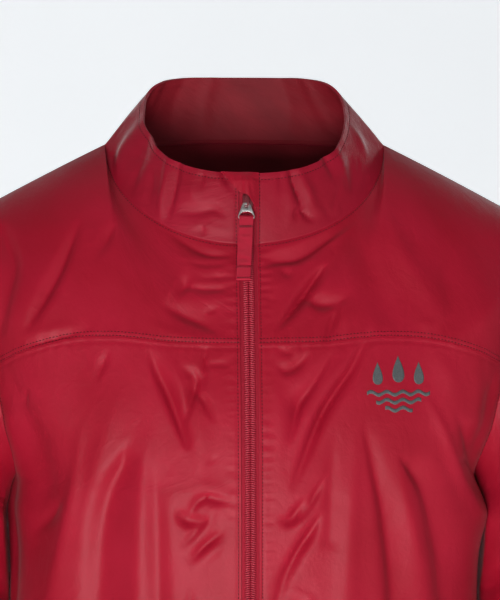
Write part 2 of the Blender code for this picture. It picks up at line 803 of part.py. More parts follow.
def build_zip_chain(layout, material, collection):
    """The closed chain, from the box at the hem up to the slider."""
    middle, outward = zip_frame(zip_rows(layout, "left"))
    low = HEM_HEIGHT + ZIP_BOX_HEIGHT + 2 * LAY_GAP
    high = SLIDER_HEIGHT - SLIDER_LENGTH / 2 - 2 * LAY_GAP
    inside = [point for point in range(len(middle)) if low < middle[point][2] < high]
    heights = [low] + [middle[point][2] for point in inside] + [high]
    rows = []
    for height in heights:
        centre = line_at_height(middle, height)
        direction = unit(line_at_direction(middle, outward, height))
        rows.append((centre, direction))
    centre = np.array([row[0] for row in rows])
    direction = np.array([row[1] for row in rows])
    half = np.array((ZIP_CHAIN_HALF_WIDTH, 0.0, 0.0))
    face = centre - direction * (WALL - ZIP_CHAIN_THICKNESS)
    outer = np.stack((face - half, face + half), axis=1)
    inner = outer - direction[:, None] * ZIP_CHAIN_THICKNESS
    wall_object("zip_chain", outer, inner, False, material, collection)


def line_at_direction(middle, outward, height):
    heights = middle[:, 2]
    return np.array([float(np.interp(height, heights, outward[:, axis])) for axis in range(3)])


# ------------------------------------------------------------------ hard pieces

def zip_place(layout, height):
    """Frame of the zip at a height: point on the cloth's face, across, up and outward."""
    middle, outward = zip_frame(zip_rows(layout, "left"))
    centre = line_at_height(middle, height)
    out = unit(line_at_direction(middle, outward, height))
    across = np.array((1.0, 0.0, 0.0))
    up = unit(np.cross(out, across))
    return centre, across, up, out


def placed(local, place):
    """World point of a local one, given as across, up and outward, in millimetres."""
    centre, across, up, out = place
    return centre + across * local[0] + up * local[1] + out * local[2]


def block_mesh(bm, size, centre, place, bevel):
    """A block with rounded edges, its size and centre given across, up and outward."""
    made = bmesh.ops.create_cube(bm, size=1.0)
    for vert in made["verts"]:
        local = [centre[axis] + vert.co[axis] * size[axis] for axis in range(3)]
        vert.co = placed(local, place) * MM
    edges = list({edge for vert in made["verts"] for edge in vert.link_edges})
    bmesh.ops.bevel(bm, geom=edges, offset=bevel * MM, segments=1, affect="EDGES")


def tube_object(name, points, radius, cyclic, material, collection):
    """A round wire through the points, as a mesh with its ends closed."""
    curve = bpy.data.curves.new(name + "_path", "CURVE")
    curve.dimensions = "3D"
    curve.bevel_depth = radius * MM
    curve.bevel_resolution = 2
    curve.use_fill_caps = not cyclic
    spline = curve.splines.new("POLY")
    spline.points.add(len(points) - 1)
    for number, point in enumerate(points):
        spline.points[number].co = (*(np.array(point) * MM), 1.0)
    spline.use_cyclic_u = cyclic
    wire = bpy.data.objects.new(name + "_path", curve)
    collection.objects.link(wire)
    bpy.context.view_layer.update()
    evaluated = wire.evaluated_get(bpy.context.evaluated_depsgraph_get())
    mesh = bpy.data.meshes.new_from_object(evaluated)
    bm = bmesh.new()
    bm.from_mesh(mesh)
    bmesh.ops.remove_doubles(bm, verts=list(bm.verts), dist=1e-6)
    bpy.data.objects.remove(wire)
    bpy.data.meshes.remove(mesh)
    return finish_mesh(name, bm, material, collection)


def union_object(name, solid, tool, material, collection):
    """One body from two overlapping objects; both are used up."""
    modifier = solid.modifiers.new("join", "BOOLEAN")
    modifier.operation = "UNION"
    modifier.object = tool
    bpy.context.view_layer.update()
    evaluated = solid.evaluated_get(bpy.context.evaluated_depsgraph_get())
    mesh = bpy.data.meshes.new_from_object(evaluated)
    bm = bmesh.new()
    bm.from_mesh(mesh)
    bpy.data.objects.remove(solid)
    bpy.data.objects.remove(tool)
    bpy.data.meshes.remove(mesh)
    return finish_mesh(name, bm, material, collection)


def build_slider(layout, material, collection):
    """Slider body and the bridge that holds the puller."""
    place = zip_place(layout, SLIDER_HEIGHT)
    bm = bmesh.new()
    depth = SLIDER_FACE + WALL
    size = (SLIDER_WIDTH, SLIDER_LENGTH, depth)
    block_mesh(bm, size, (0.0, 0.0, SLIDER_FACE - depth / 2), place, SLIDER_ROUND)
    body = finish_mesh("slider_body", bm, material, collection)
    radius = BRIDGE_THICKNESS / 2
    half = BRIDGE_LENGTH / 2 - radius
    rise = SLIDER_FACE + BRIDGE_WINDOW + radius
    path = [(0.0, -half, SLIDER_FACE - 1.0), (0.0, -half, rise - 0.8), (0.0, -half + 0.8, rise)]
    path += [(0.0, half - 0.8, rise), (0.0, half, rise - 0.8), (0.0, half, SLIDER_FACE - 1.0)]
    points = [placed(point, place) for point in path]
    bridge = tube_object("slider_bridge", points, radius, False, material, collection)
    return union_object("zip_slider", body, bridge, material, collection)


def build_zip_box(layout, material, collection):
    """The box that closes the foot of the zip."""
    low = HEM_HEIGHT + LAY_GAP
    half = ZIP_BOX_WIDTH / 2
    outer = []
    inner = []
    for height in (low, low + ZIP_BOX_HEIGHT / 2, low + ZIP_BOX_HEIGHT):
        place = zip_place(layout, height)
        outer.append([placed((across, 0.0, 0.0), place) for across in (-half, 0.0, half)])
        inner.append([placed((across, 0.0, -WALL), place) for across in (-half, 0.0, half)])
    wall_object("zip_box", np.array(outer), np.array(inner), False, material, collection)


def pivot_point(layout):
    """Middle of the puller's top bar, where it turns in the slider's bridge."""
    place = zip_place(layout, SLIDER_HEIGHT)
    low = BRIDGE_LENGTH / 2 - BRIDGE_THICKNESS - PULLER_WIRE / 2 - LAY_GAP
    out = SLIDER_FACE + BRIDGE_WINDOW / 2
    return placed((PULLER_SHIFT, -low, out), place)


def puller_place(layout):
    """Frame of the hanging puller: its pivot, across, up, and outward from the cloth."""
    pivot = pivot_point(layout)
    middle, _ = zip_frame(zip_rows(layout, "left"))
    reach = PULLER_BAIL_LENGTH + PULL_TAPE_LENGTH
    foot = line_at_height(middle, pivot[2] - reach)
    forward = (PULL_TAPE_THICKNESS / 2 + PULL_TAPE_CLEARANCE)
    lean = math.atan2(pivot[1] - (foot[1] - forward), reach)
    out = np.array((0.0, -math.cos(lean), -math.sin(lean)))
    up = np.array((0.0, math.sin(lean), math.cos(lean)))
    return pivot, np.array((1.0, 0.0, 0.0)), up, out


def build_bail(place, material, collection):
    """The metal ring between the slider and the pull tape."""
    half_top = BAIL_TOP_WIDTH / 2
    half_foot = BAIL_FOOT_WIDTH / 2
    corner = BAIL_CORNER
    foot = -PULLER_BAIL_LENGTH
    path = ((-half_top, 0.0), (half_top, 0.0), (half_top + corner, -corner))
    path += ((half_foot, foot + corner), (half_foot - corner, foot))
    path += ((-half_foot + corner, foot), (-half_foot, foot + corner), (-half_top - corner, -corner))
    points = [placed((across, up, 0.0), place) for across, up in path]
    return tube_object("zip_bail", points, PULLER_WIRE / 2, True, material, collection)


def build_pull_tape(place, material, collection):
    """Folded tape round the ring's foot bar, as a side profile pushed across."""
    half = PULL_TAPE_THICKNESS / 2
    hole = PULLER_WIRE / 2 + LAY_GAP
    round_outer = hole + PULL_TAPE_PLY
    steps = 10
    turns = [math.pi * (step / steps) for step in range(steps + 1)]
    outline = [(round_outer * math.cos(turn), round_outer * math.sin(turn)) for turn in turns]
    outline += [(-half, -5.0), (-half, -PULL_TAPE_LENGTH + half), (0.0, -PULL_TAPE_LENGTH)]
    outline += [(half, -PULL_TAPE_LENGTH + half), (half, -5.0)]
    circle = [2 * math.pi * step / (2 * steps) for step in range(2 * steps)]
    window = [(hole * math.cos(turn), hole * math.sin(turn)) for turn in circle]
    curve = bpy.data.curves.new("pull_tape_profile", "CURVE")
    curve.dimensions = "2D"
    curve.fill_mode = "BOTH"
    curve.extrude = PULL_TAPE_WIDTH / 2
    for loop in (outline, window):
        spline = curve.splines.new("POLY")
        spline.points.add(len(loop) - 1)
        for number, (out, up) in enumerate(loop):
            spline.points[number].co = (out, up, 0.0, 1.0)
        spline.use_cyclic_u = True
    profile = bpy.data.objects.new("pull_tape_profile", curve)
    collection.objects.link(profile)
    bpy.context.view_layer.update()
    evaluated = profile.evaluated_get(bpy.context.evaluated_depsgraph_get())
    mesh = bpy.data.meshes.new_from_object(evaluated)
    bm = bmesh.new()
    bm.from_mesh(mesh)
    bmesh.ops.remove_doubles(bm, verts=list(bm.verts), dist=1e-4)
    for vert in bm.verts:
        out, up, across = vert.co
        shift = PULL_TAPE_DRIFT * min(up, 0.0) / -PULL_TAPE_LENGTH
        local = (across + shift, up - PULLER_BAIL_LENGTH, out)
        vert.co = placed(local, place) * MM
    bpy.data.objects.remove(profile)
    bpy.data.meshes.remove(mesh)
    return finish_mesh("zip_pull_tape", bm, material, collection)


def build_garage(layout, material, collection):
    """The flap over the top of the zip, from the collar's edge down to its point."""
    collar = layout["collar"][0]
    middle, outward = zip_frame(zip_rows(layout, "left"))
    rows = []
    for row in range(GARAGE_ROWS + 1):
        fall = row / GARAGE_ROWS
        points = []
        for column in range(GARAGE_COLUMNS + 1):
            share = column / GARAGE_COLUMNS
            width = GARAGE_RIGHT - GARAGE_LEFT
            width += (GARAGE_FOOT_WIDTH - width) * fall ** GARAGE_EDGE_POWER
            x = GARAGE_RIGHT - width * (1.0 - share)
            surface = collar_point(collar, x, 1.0 - fall * GARAGE_REACH)
            out = unit(line_at_direction(middle, outward, surface[2]))
            lift = smooth_row(GARAGE_LIFT, x)[0] * ease(fall, 0.0, 0.35)
            points.append(surface + out * (LAY_GAP + GARAGE_WALL + lift))
        rows.append(points)
    outer = np.array(rows)[::-1]
    out = unit(line_at_direction(middle, outward, SLIDER_HEIGHT))
    inner = outer - out * GARAGE_WALL
    return wall_object("zip_garage", outer, inner, False, material, collection)


def collar_point(collar, x, rise):
    """Point of the collar's front at a distance across and a share of its height."""
    place = rise * COLLAR_ROWS
    low = min(int(place), COLLAR_ROWS - 1)
    row = collar[low] + (collar[low + 1] - collar[low]) * (place - low)
    line = np.concatenate((row[-3:], row[:3]))
    return np.array([float(np.interp(x, line[:, 0], line[:, axis])) for axis in range(3)])


# ------------------------------------------------------------------ the jacket

def main():
    for thing in list(bpy.data.objects):
        bpy.data.objects.remove(thing)
    collection = bpy.data.collections.new("rain_jacket")
    bpy.context.scene.collection.children.link(collection)
    cloth = make_material("red_nylon", CLOTH_RED, 0.38, 0.0)
    tape = make_material("red_tape", TAPE_RED, 0.75, 0.0)
    metal = make_material("silver_metal", METAL_SILVER, 0.28, 1.0)

    layout = cloth_layout()
    build_cloth(layout, cloth, collection)
    build_zip_tape(layout, "right", tape, collection)
    build_zip_tape(layout, "left", tape, collection)
    build_zip_chain(layout, tape, collection)
    build_zip_box(layout, tape, collection)
    build_slider(layout, tape, collection)
    build_garage(layout, cloth, collection)

    hanging = puller_place(layout)
    pivot = bpy.data.objects.new("puller_pivot", None)
    pivot.location = hanging[0] * MM
    collection.objects.link(pivot)
    bpy.context.view_layer.update()
    for piece in (build_bail(hanging, metal, collection), build_pull_tape(hanging, cloth, collection)):
        piece.parent = pivot
        piece.matrix_parent_inverse = pivot.matrix_world.inverted()


main()
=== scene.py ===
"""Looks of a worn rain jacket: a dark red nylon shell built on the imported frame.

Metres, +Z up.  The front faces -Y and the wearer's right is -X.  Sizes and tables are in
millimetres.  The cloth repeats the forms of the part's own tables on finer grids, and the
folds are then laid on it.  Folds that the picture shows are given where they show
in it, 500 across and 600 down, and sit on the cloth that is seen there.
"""

import math

import bpy
import numpy as np
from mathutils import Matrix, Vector
from mathutils.bvhtree import BVHTree


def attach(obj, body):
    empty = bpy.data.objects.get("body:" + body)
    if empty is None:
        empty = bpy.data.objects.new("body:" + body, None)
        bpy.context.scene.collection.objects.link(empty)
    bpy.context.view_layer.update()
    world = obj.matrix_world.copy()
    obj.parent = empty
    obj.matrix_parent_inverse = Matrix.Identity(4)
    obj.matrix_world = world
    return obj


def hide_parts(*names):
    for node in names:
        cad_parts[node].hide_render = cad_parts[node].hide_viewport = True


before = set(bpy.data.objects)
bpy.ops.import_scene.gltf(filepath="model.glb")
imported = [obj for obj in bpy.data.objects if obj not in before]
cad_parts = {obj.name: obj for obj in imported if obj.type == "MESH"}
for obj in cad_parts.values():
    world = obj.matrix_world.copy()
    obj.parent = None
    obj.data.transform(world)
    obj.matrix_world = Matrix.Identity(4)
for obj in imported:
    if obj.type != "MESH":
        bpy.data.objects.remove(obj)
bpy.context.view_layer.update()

MM = 0.001

# ------------------------------------------------------------------ camera, mm

LOOK_AT = np.array((0.0, -120.0, -115.6))
EYE_DISTANCE = 1880.0
EYE_TURN = -2.0             # degrees round the jacket
PICTURE_WIDTH = 350.0       # what the picture takes in at that distance
PICTURE_HEIGHT = 420.0
PIXELS_ACROSS = 500.0
PIXELS_DOWN = 600.0

# ------------------------------------------------------------------ sizes of the jacket

HEM_HEIGHT = -690.0
UNDERARM_HEIGHT = -250.0
TORSO_POWER = 2.5

NECK_HALF_WIDTH = 104.0
NECK_FRONT_DEPTH = 78.0
NECK_FRONT_DROP = 75.5
NECK_BACK_DEPTH = 66.0
NECK_BACK_RISE = 6.0
NECK_SHARE_FRONT = 8 / 17
NECK_SHARE_BACK = 6 / 15

SHOULDER_TIP_X = 225.0
SHOULDER_TIP_Y = 5.0
SHOULDER_SLOPE = 0.49
SHOULDER_SAG = 0.0003

COLLAR_TOP_HALF_WIDTH = 75.0
COLLAR_TOP_FRONT_DEPTH = 71.0
COLLAR_TOP_BACK_DEPTH = 60.0
COLLAR_TOP_POWER = 2.4
COLLAR_LEAN_BACK = 0.035
COLLAR_BOW = 1.5

ZIP_EDGE = 6.5
ZIP_CLOTH_DEPTH = 2.0       # the chain's back lies this far behind the cloth's face
COLUMN_BEND = 0.78
COLUMN_BEND_ARC = 0.62
BACK_LINE_HEIGHT = -150.0

SHELL = 0.9                 # nylon panels as drawn
COLLAR_SHELL = 2.0          # two layers
SEAM_GAP = 0.06             # each panel stands back this far from its seam
YOKE_LAP = 0.45             # the yoke's edge lies this far over the front

SIDE_FULLNESS = 5.0         # how far the cloth stands out at the sides below the arms
CHEST_FORWARD = 12.0        # and before the armholes, to the front
CHEST_OUT_LEFT = 6.0        # and there to the side, on +X and on -X
CHEST_OUT_RIGHT = 2.0
SLEEVE_LEAN = 15.0          # how far a sleeve's inner side may lean in to the body
SLEEVE_CLEARANCE = 0.8      # what is left between them
SLEEVE_COLUMNS = 150

# how much deeper or higher than drawn the troughs and the ridges are laid on
SEEN_DEPTHS = (1.55, 0.75)
LOW_FRONT_DEPTHS = (1.3, 1.2)
BACK_DEPTHS = (1.5, 1.3)
SLEEVE_DEPTHS = (1.4, 1.2)
COLLAR_DEPTHS = (1.3, 1.0)

CREASE_FALL = 1.9           # how fast a sharp crease falls off beside its line
CREASE_ROUNDING = 0.07      # and how round it is along it
RUMPLE_CELLS = 97           # random values along each side before they repeat
RUMPLE_TURN = (0.86, 0.5)   # turns the lumps, so that they don't line up with the cloth
SHARP_CLOTH = 62.0          # degrees between faces past which an edge stays sharp
SHARP_METAL = 40.0

# ------------------------------------------------------------------ tables of the form

# torso sections: height, half width, front depth, back depth
TORSO = (
    (-690.0, 178.0, 129.0, 118.0),
    (-560.0, 176.0, 130.0, 116.0),
    (-420.0, 171.0, 131.0, 116.0),
    (-320.0, 169.0, 132.0, 121.0),
    (-250.0, 173.0, 131.0, 127.0),
    (-200.0, 180.0, 124.0, 129.0),
    (-150.0, 189.0, 109.0, 126.0),
    (-120.0, 196.0, 97.0, 118.0),
)

# armhole: height, front edge's and back edge's distance from the side plane
ARMHOLE = (
    (-250.0, 0.0, 0.0),
    (-243.0, 18.0, 28.0),
    (-228.0, 29.0, 50.0),
    (-205.0, 36.0, 66.0),
    (-180.0, 40.0, 76.0),
    (-150.0, 42.0, 82.0),
    (-120.0, 43.0, 82.0),
)

# yoke seam: distance from the zip, height
YOKE_SEAM = (
    (0.0, -147.0),
    (50.0, -146.0),
    (95.0, -142.0),
    (130.0, -144.0),
    (160.0, -153.0),
    (185.0, -166.0),
)

# direction of the cloth at the neckline and the shoulder seam: step, x, y, z
FRONT_ARRIVAL = (
    (0.0, 0.0, 0.38, 0.92),
    (0.4, 0.08, 0.52, 0.84),
    (0.7, 0.08, 0.74, 0.66),
    (1.0, 0.04, 0.92, 0.38),
    (1.4, 0.0, 0.97, 0.22),
    (2.0, 0.0, 1.0, 0.10),
)
BACK_ARRIVAL = (
    (0.0, 0.0, -0.62, 0.78),
    (0.5, 0.04, -0.76, 0.64),
    (1.0, 0.04, -0.95, 0.24),
    (1.4, 0.0, -1.0, 0.02),
    (2.0, 0.0, -1.0, -0.10),
)

# collar's top edge: distance behind the neck points, height
COLLAR_TOP_EDGE = (
    (-71.0, -24.5),
    (-59.0, -16.5),
    (-46.0, -7.5),
    (-29.0, 5.5),
    (0.0, 26.0),
    (35.0, 48.0),
    (52.0, 54.0),
    (60.0, 55.0),
)

# sleeve rings: height, centre x, centre y, half width, half depth, tilt
SLEEVE = (
    (-690.0, 287.0, -38.0, 38.0, 40.0, 0.0),
    (-676.0, 286.0, -36.0, 39.0, 41.0, 0.0),
    (-630.0, 283.0, -30.0, 44.0, 44.0, 0.0),
    (-580.0, 279.0, -23.0, 48.0, 47.0, 0.0),
    (-530.0, 275.0, -16.0, 51.0, 50.0, 0.0),
    (-485.0, 271.0, -9.0, 54.0, 53.0, 0.0),
    (-440.0, 266.0, -3.0, 56.5, 56.0, 0.0),
    (-400.0, 260.0, 1.0, 59.5, 59.0, 3.5),
    (-360.0, 253.0, 3.0, 62.5, 61.0, 7.0),
    (-320.0, 247.0, 4.0, 65.0, 63.0, 10.5),
    (-288.0, 243.0, 4.0, 66.0, 64.0, 14.0),
)

# direction in which the sleeve leaves the armhole: share of the way down, x, y, z
CAP_LEAVING = (
    (0.0, 0.90, 0.00, -0.44),
    (0.25, 0.88, 0.04, -0.48),
    (0.55, 0.76, 0.08, -0.62),
    (0.85, 0.45, 0.10, -0.88),
    (1.0, 0.25, 0.00, -0.97),
)

# ------------------------------------------------------------------ folds

# Folds that the picture shows.  Each has its crispness, its lean to one side, and knots:
# across, down, half width (all in the picture's pixels) and height in mm (below 0 a trough).
SEEN_FOLDS = (
    # above the yoke seam, the picture's left
    (0.6, 0.2, ((76, 226, 4, -0.6), (64, 256, 6, -3.0), (54, 278, 7, -3.8), (42, 302, 6, -3.0),
                (29, 328, 4, -0.4))),
    (0.2, 0.0, ((84, 234, 8, 0.3), (70, 262, 9, 1.2), (57, 292, 9, 1.0), (44, 320, 8, 0.2))),
    (0.4, 0.0, ((116, 221, 4, -0.3), (107, 237, 5, -1.7), (97, 256, 5, -0.3))),
    (0.3, 0.0, ((2, 232, 7, -1.6), (11, 262, 8, -3.2), (8, 292, 8, -3.0), (2, 330, 7, -1.5))),
    (0.3, 0.3, ((30, 346, 3, -0.3), (50, 340, 4, -1.0), (86, 331, 4, -0.2))),
    (0.2, 0.0, ((28, 336, 5, 0.3), (50, 331, 6, 1.2), (80, 325, 5, 0.2))),
    # short wrinkles beside the zip, above the seam
    (0.5, 0.2, ((168, 232, 4, -0.2), (190, 246, 5, -1.2), (208, 254, 4, -1.4),
                (236, 256, 3, -0.5))),
    (0.2, 0.0, ((172, 252, 7, 0.4), (196, 264, 9, 1.7), (214, 268, 8, 1.2), (236, 266, 6, 0.4))),
    (0.4, 0.0, ((186, 262, 3, -0.2), (204, 265, 4, -0.8), (224, 264, 3, -0.3))),
    (0.4, 0.0, ((206, 278, 3, -0.3), (222, 277, 3, -0.7), (236, 275, 3, -0.4))),
    (0.4, -0.2, ((190, 276, 4, -0.4), (184, 286, 5, -1.8), (176, 298, 4, -0.4))),
    (0.2, 0.0, ((178, 276, 5, 0.3), (171, 290, 7, 1.8), (164, 304, 6, 0.4))),
    (0.5, 0.0, ((188, 287, 3, -0.5), (208, 289, 4, -1.2), (236, 288, 3, -0.5))),
    (0.2, 0.0, ((190, 299, 6, 0.3), (210, 300, 8, 1.3), (234, 299, 6, 0.4))),
    (0.2, 0.2, ((166, 306, 6, -0.4), (184, 314, 8, -2.2), (202, 322, 7, -2.0),
                (216, 332, 4, -0.3))),
    (0.5, 0.0, ((206, 313, 2, -0.3), (211, 310, 3, -0.8), (216, 308, 2, -0.2))),
    (0.2, 0.0, ((150, 326, 6, 0.2), (176, 334, 7, 1.2), (206, 338, 6, 0.8), (232, 336, 5, 0.3))),
    # below the seam, the picture's left
    (0.4, 0.0, ((108, 352, 3, -0.3), (102, 364, 4, -1.2), (97, 378, 3, -0.3))),
    (0.35, 0.3, ((150, 352, 4, -0.5), (157, 372, 6, -2.6), (167, 392, 7, -3.6),
                 (177, 418, 6, -3.4), (185, 441, 4, -1.6), (188, 450, 3, -0.2))),
    (0.1, 0.0, ((166, 352, 6, 0.4), (176, 378, 7, 1.6), (184, 402, 7, 1.4), (190, 426, 6, 0.4))),
    (0.4, -0.2, ((184, 368, 4, -0.3), (196, 378, 6, -2.6), (192, 396, 5, -2.4),
                 (186, 419, 3, -0.5))),
    (0.5, 0.0, ((205, 349, 3, -0.8), (204, 366, 3, -1.5), (204, 388, 3, -0.4))),
    (0.4, 0.0, ((207, 365, 2, -0.4), (222, 364, 3, -0.9), (240, 364, 2, -0.4))),
    (0.5, 0.2, ((193, 388, 4, -0.6), (202, 398, 4, -1.8), (208, 408, 4, -1.5),
                (214, 421, 3, -0.2))),
    (0.15, 0.0, ((196, 408, 8, 0.3), (199, 440, 10, 1.5), (199, 480, 10, 0.8))),
    # the long trough and its ridges, down to the hem side
    (0.1, 0.35, ((126, 447, 6, -0.5), (121, 464, 10, -3.6), (108, 492, 15, -5.2),
                 (100, 530, 19, -5.6), (96, 600, 24, -5.6), (92, 690, 26, -5.0),
                 (90, 790, 26, -2.0))),
    (0.1, 0.0, ((116, 404, 8, 0.3), (106, 440, 10, 1.5), (95, 468, 10, 1.6), (88, 486, 6, 0.2))),
    (0.2, 0.0, ((82, 424, 5, 0.2), (78, 452, 7, 1.6), (72, 490, 8, 3.4), (61, 550, 9, 4.0),
                (52, 620, 12, 3.8), (46, 720, 14, 1.5))),
    (0.1, 0.0, ((152, 424, 7, 0.2), (144, 462, 9, 1.8), (140, 520, 11, 2.6), (136, 600, 14, 3.0),
                (130, 720, 16, 2.0))),
    (0.2, 0.0, ((154, 470, 6, -0.2), (156, 520, 9, -1.4), (158, 590, 11, -2.0),
                (160, 700, 14, -1.6))),
    (0.1, 0.0, ((176, 452, 8, 0.2), (176, 490, 9, 0.9), (172, 540, 10, 0.6))),
    # swirl near the zip, low
    (0.45, 0.2, ((190, 514, 3, -0.4), (196, 504, 4, -1.8), (206, 498, 4, -2.0),
                 (222, 501, 4, -1.2), (240, 504, 3, -0.5))),
    (0.2, 0.0, ((184, 494, 6, 0.2), (198, 488, 7, 1.2), (218, 488, 6, 0.7))),
    (0.3, 0.2, ((176, 510, 5, -0.4), (186, 520, 7, -2.6), (200, 522, 6, -1.8),
                (210, 516, 4, -0.3))),
    (0.2, 0.0, ((188, 538, 5, 0.4), (204, 526, 6, 1.8), (212, 512, 6, 1.6), (226, 509, 5, 0.4))),
    (0.5, 0.0, ((183, 545, 3, -0.3), (196, 532, 4, -1.6), (208, 520, 3, -0.4))),
    (0.5, 0.2, ((192, 560, 4, -0.6), (203, 548, 4, -2.4), (214, 539, 4, -1.8),
                (224, 531, 3, -0.3))),
    (0.3, 0.0, ((200, 566, 5, 0.4), (214, 552, 6, 1.6), (228, 542, 4, 0.4))),
    # armhole side, the picture's left
    (0.0, 0.0, ((14, 380, 7, -1.2), (20, 410, 14, -4.0), (28, 446, 22, -6.4), (33, 490, 25, -6.8),
                (29, 540, 23, -6.2), (20, 600, 20, -3.6))),
    (0.4, 0.0, ((30, 388, 3, -0.3), (25, 396, 4, -1.4), (22, 406, 3, -0.3))),
    (0.2, 0.0, ((14, 396, 4, 0.3), (8, 430, 6, 2.0), (10, 470, 6, 1.2))),
    (0.3, 0.0, ((58, 500, 5, -0.3), (46, 516, 8, -2.2), (32, 530, 6, -0.5))),
    # above the seam, the picture's right
    (0.6, 0.1, ((324, 266, 3, -0.5), (316, 277, 5, -3.0), (302, 296, 6, -4.2), (291, 311, 5, -3.2),
                (277, 329, 3, -0.4))),
    (0.2, 0.0, ((332, 272, 6, 0.4), (318, 292, 7, 1.4), (302, 314, 7, 1.0), (290, 330, 5, 0.2))),
    (0.3, 0.3, ((258, 265, 3, -0.6), (276, 261, 6, -2.0), (298, 257, 7, -2.8), (320, 244, 6, -2.0),
                (338, 232, 4, -0.3))),
    (0.2, 0.0, ((258, 250, 5, 0.5), (280, 249, 7, 1.4), (304, 242, 7, 1.4), (324, 232, 5, 0.3))),
    (0.5, 0.0, ((322, 249, 3, 0.3), (336, 240, 4, 1.7), (355, 225, 3, 0.3))),
    (0.4, 0.0, ((280, 268, 3, -0.3), (287, 273, 4, -1.2), (290, 278, 3, -0.2))),
    (0.2, 0.0, ((264, 276, 7, 0.4), (278, 284, 8, 1.2), (290, 284, 6, 0.3))),
    (0.3, 0.2, ((302, 296, 4, -0.3), (318, 303, 7, -2.2), (334, 303, 7, -1.8),
                (348, 296, 5, -0.3))),
    (0.4, 0.0, ((338, 305, 3, -0.4), (333, 319, 5, -2.0), (327, 338, 4, -0.8))),
    (0.2, 0.0, ((352, 306, 7, 0.3), (344, 320, 7, 1.6), (340, 334, 6, 0.5))),
    (0.1, 0.0, ((386, 212, 6, 0.5), (402, 250, 9, 2.4), (418, 278, 10, 2.0), (432, 300, 8, 0.4))),
    (0.1, 0.0, ((352, 232, 12, -0.4), (372, 270, 18, -1.8), (386, 304, 18, -1.6),
                (392, 326, 12, -0.3))),
    (0.1, 0.2, ((440, 250, 12, -0.3), (450, 284, 16, -1.6), (450, 316, 12, -1.2),
                (436, 330, 8, -0.3))),
    (0.2, 0.0, ((418, 318, 5, 0.2), (426, 325, 6, 1.2), (436, 329, 5, 0.2))),
    (0.1, 0.0, ((464, 330, 8, 0.4), (482, 310, 10, 2.2), (502, 290, 12, 2.2))),
    # below the seam, the picture's right
    (0.5, 0.1, ((368, 334, 4, -0.8), (352, 368, 5, -3.0), (338, 388, 6, -4.0), (322, 414, 6, -4.4),
                (310, 443, 6, -3.2), (294, 486, 4, -0.4))),
    (0.2, 0.0, ((352, 346, 6, 0.3), (338, 370, 7, 1.6), (320, 398, 8, 1.8), (306, 426, 8, 1.6),
                (292, 460, 6, 0.3))),
    (0.45, -0.3, ((330, 356, 3, -0.5), (312, 386, 5, -2.2), (300, 402, 7, -3.6),
                  (295, 420, 5, -2.4), (290, 441, 3, -0.3))),
    (0.4, 0.0, ((308, 354, 3, -0.4), (298, 364, 5, -2.0), (288, 370, 5, -1.8),
                (278, 366, 3, -0.3))),
    (0.4, 0.0, ((279, 351, 3, -0.3), (286, 352, 3, -1.0), (293, 354, 3, -0.2))),
    (0.15, 0.0, ((268, 380, 7, 0.4), (278, 400, 8, 1.4), (280, 430, 9, 1.2), (278, 460, 8, 0.4))),
    (0.4, 0.0, ((325, 478, 3, -0.4), (315, 496, 4, -2.0), (303, 517, 3, -0.4))),
    (0.45, 0.2, ((306, 498, 3, -0.4), (298, 510, 5, -2.4), (290, 520, 5, -2.4),
                 (280, 519, 3, -0.4))),
    (0.2, 0.0, ((312, 512, 5, 0.4), (302, 524, 6, 1.6), (290, 532, 6, 0.4))),
    (0.45, 0.1, ((320, 516, 3, -0.6), (310, 534, 5, -3.2), (298, 552, 5, -3.4),
                 (284, 580, 6, -2.0), (276, 610, 5, -0.5))),
    (0.1, 0.0, ((356, 430, 6, 0.2), (354, 470, 8, 1.4), (350, 530, 10, 2.6), (348, 600, 14, 3.4),
                (352, 700, 17, 3.0), (356, 800, 18, 1.2))),
    (0.1, 0.0, ((334, 440, 6, -0.2), (332, 480, 7, -1.2), (330, 540, 8, -1.0))),
    (0.15, 0.35, ((366, 430, 5, -0.4), (376, 470, 8, -2.2), (388, 520, 12, -3.8),
                  (398, 590, 16, -4.4), (404, 700, 20, -3.5))),
    (0.3, 0.3, ((404, 462, 4, -1.2), (414, 470, 9, -3.6), (426, 490, 12, -3.4),
                (436, 524, 15, -3.8), (446, 580, 18, -4.6), (452, 680, 20, -4.0),
                (452, 800, 20, -1.0))),
    (0.2, 0.0, ((400, 480, 4, 0.4), (408, 508, 7, 1.8), (418, 548, 9, 2.0), (426, 600, 11, 1.0))),
    (0.3, 0.0, ((426, 398, 3, 0.3), (440, 430, 5, 2.2), (452, 460, 6, 3.4), (468, 496, 7, 4.0),
                (484, 536, 9, 4.4), (500, 580, 11, 4.0), (512, 640, 13, 2.0))),
    (0.3, 0.2, ((454, 420, 5, -0.6), (466, 440, 9, -3.6), (474, 462, 9, -3.4), (484, 486, 7, -2.0),
                (490, 506, 5, -0.5))),
    (0.3, 0.0, ((484, 374, 4, -0.4), (482, 400, 7, -2.6), (478, 436, 6, -2.2),
                (476, 462, 4, -0.4))),
    (0.2, 0.0, ((468, 368, 5, 0.3), (470, 396, 6, 1.6), (466, 420, 5, 0.4))),
    (0.5, 0.0, ((457, 461, 2, -0.3), (464, 460, 3, -0.7), (470, 462, 2, -0.2))),
    (0.2, 0.0, ((432, 350, 8, 0.2), (444, 374, 9, 1.6), (448, 398, 8, 0.4))),
    (0.2, 0.0, ((492, 352, 8, 0.4), (494, 384, 10, 2.4), (496, 430, 10, 1.8))),
    (0.3, 0.0, ((500, 456, 5, -0.5), (494, 480, 8, -3.4), (496, 510, 8, -3.0),
                (504, 540, 7, -1.0))),
    # along the zip edges
    (0.6, 0.0, ((238, 480, 2, -0.7), (232, 488, 2, -0.8), (225, 496, 2, -0.1))),
    (0.6, 0.0, ((239, 521, 2, -0.7), (233, 516, 2, -0.8), (226, 512, 2, -0.1))),
    (0.6, 0.0, ((238, 468, 2, -0.5), (231, 470, 2, -0.6), (225, 471, 2, -0.1))),
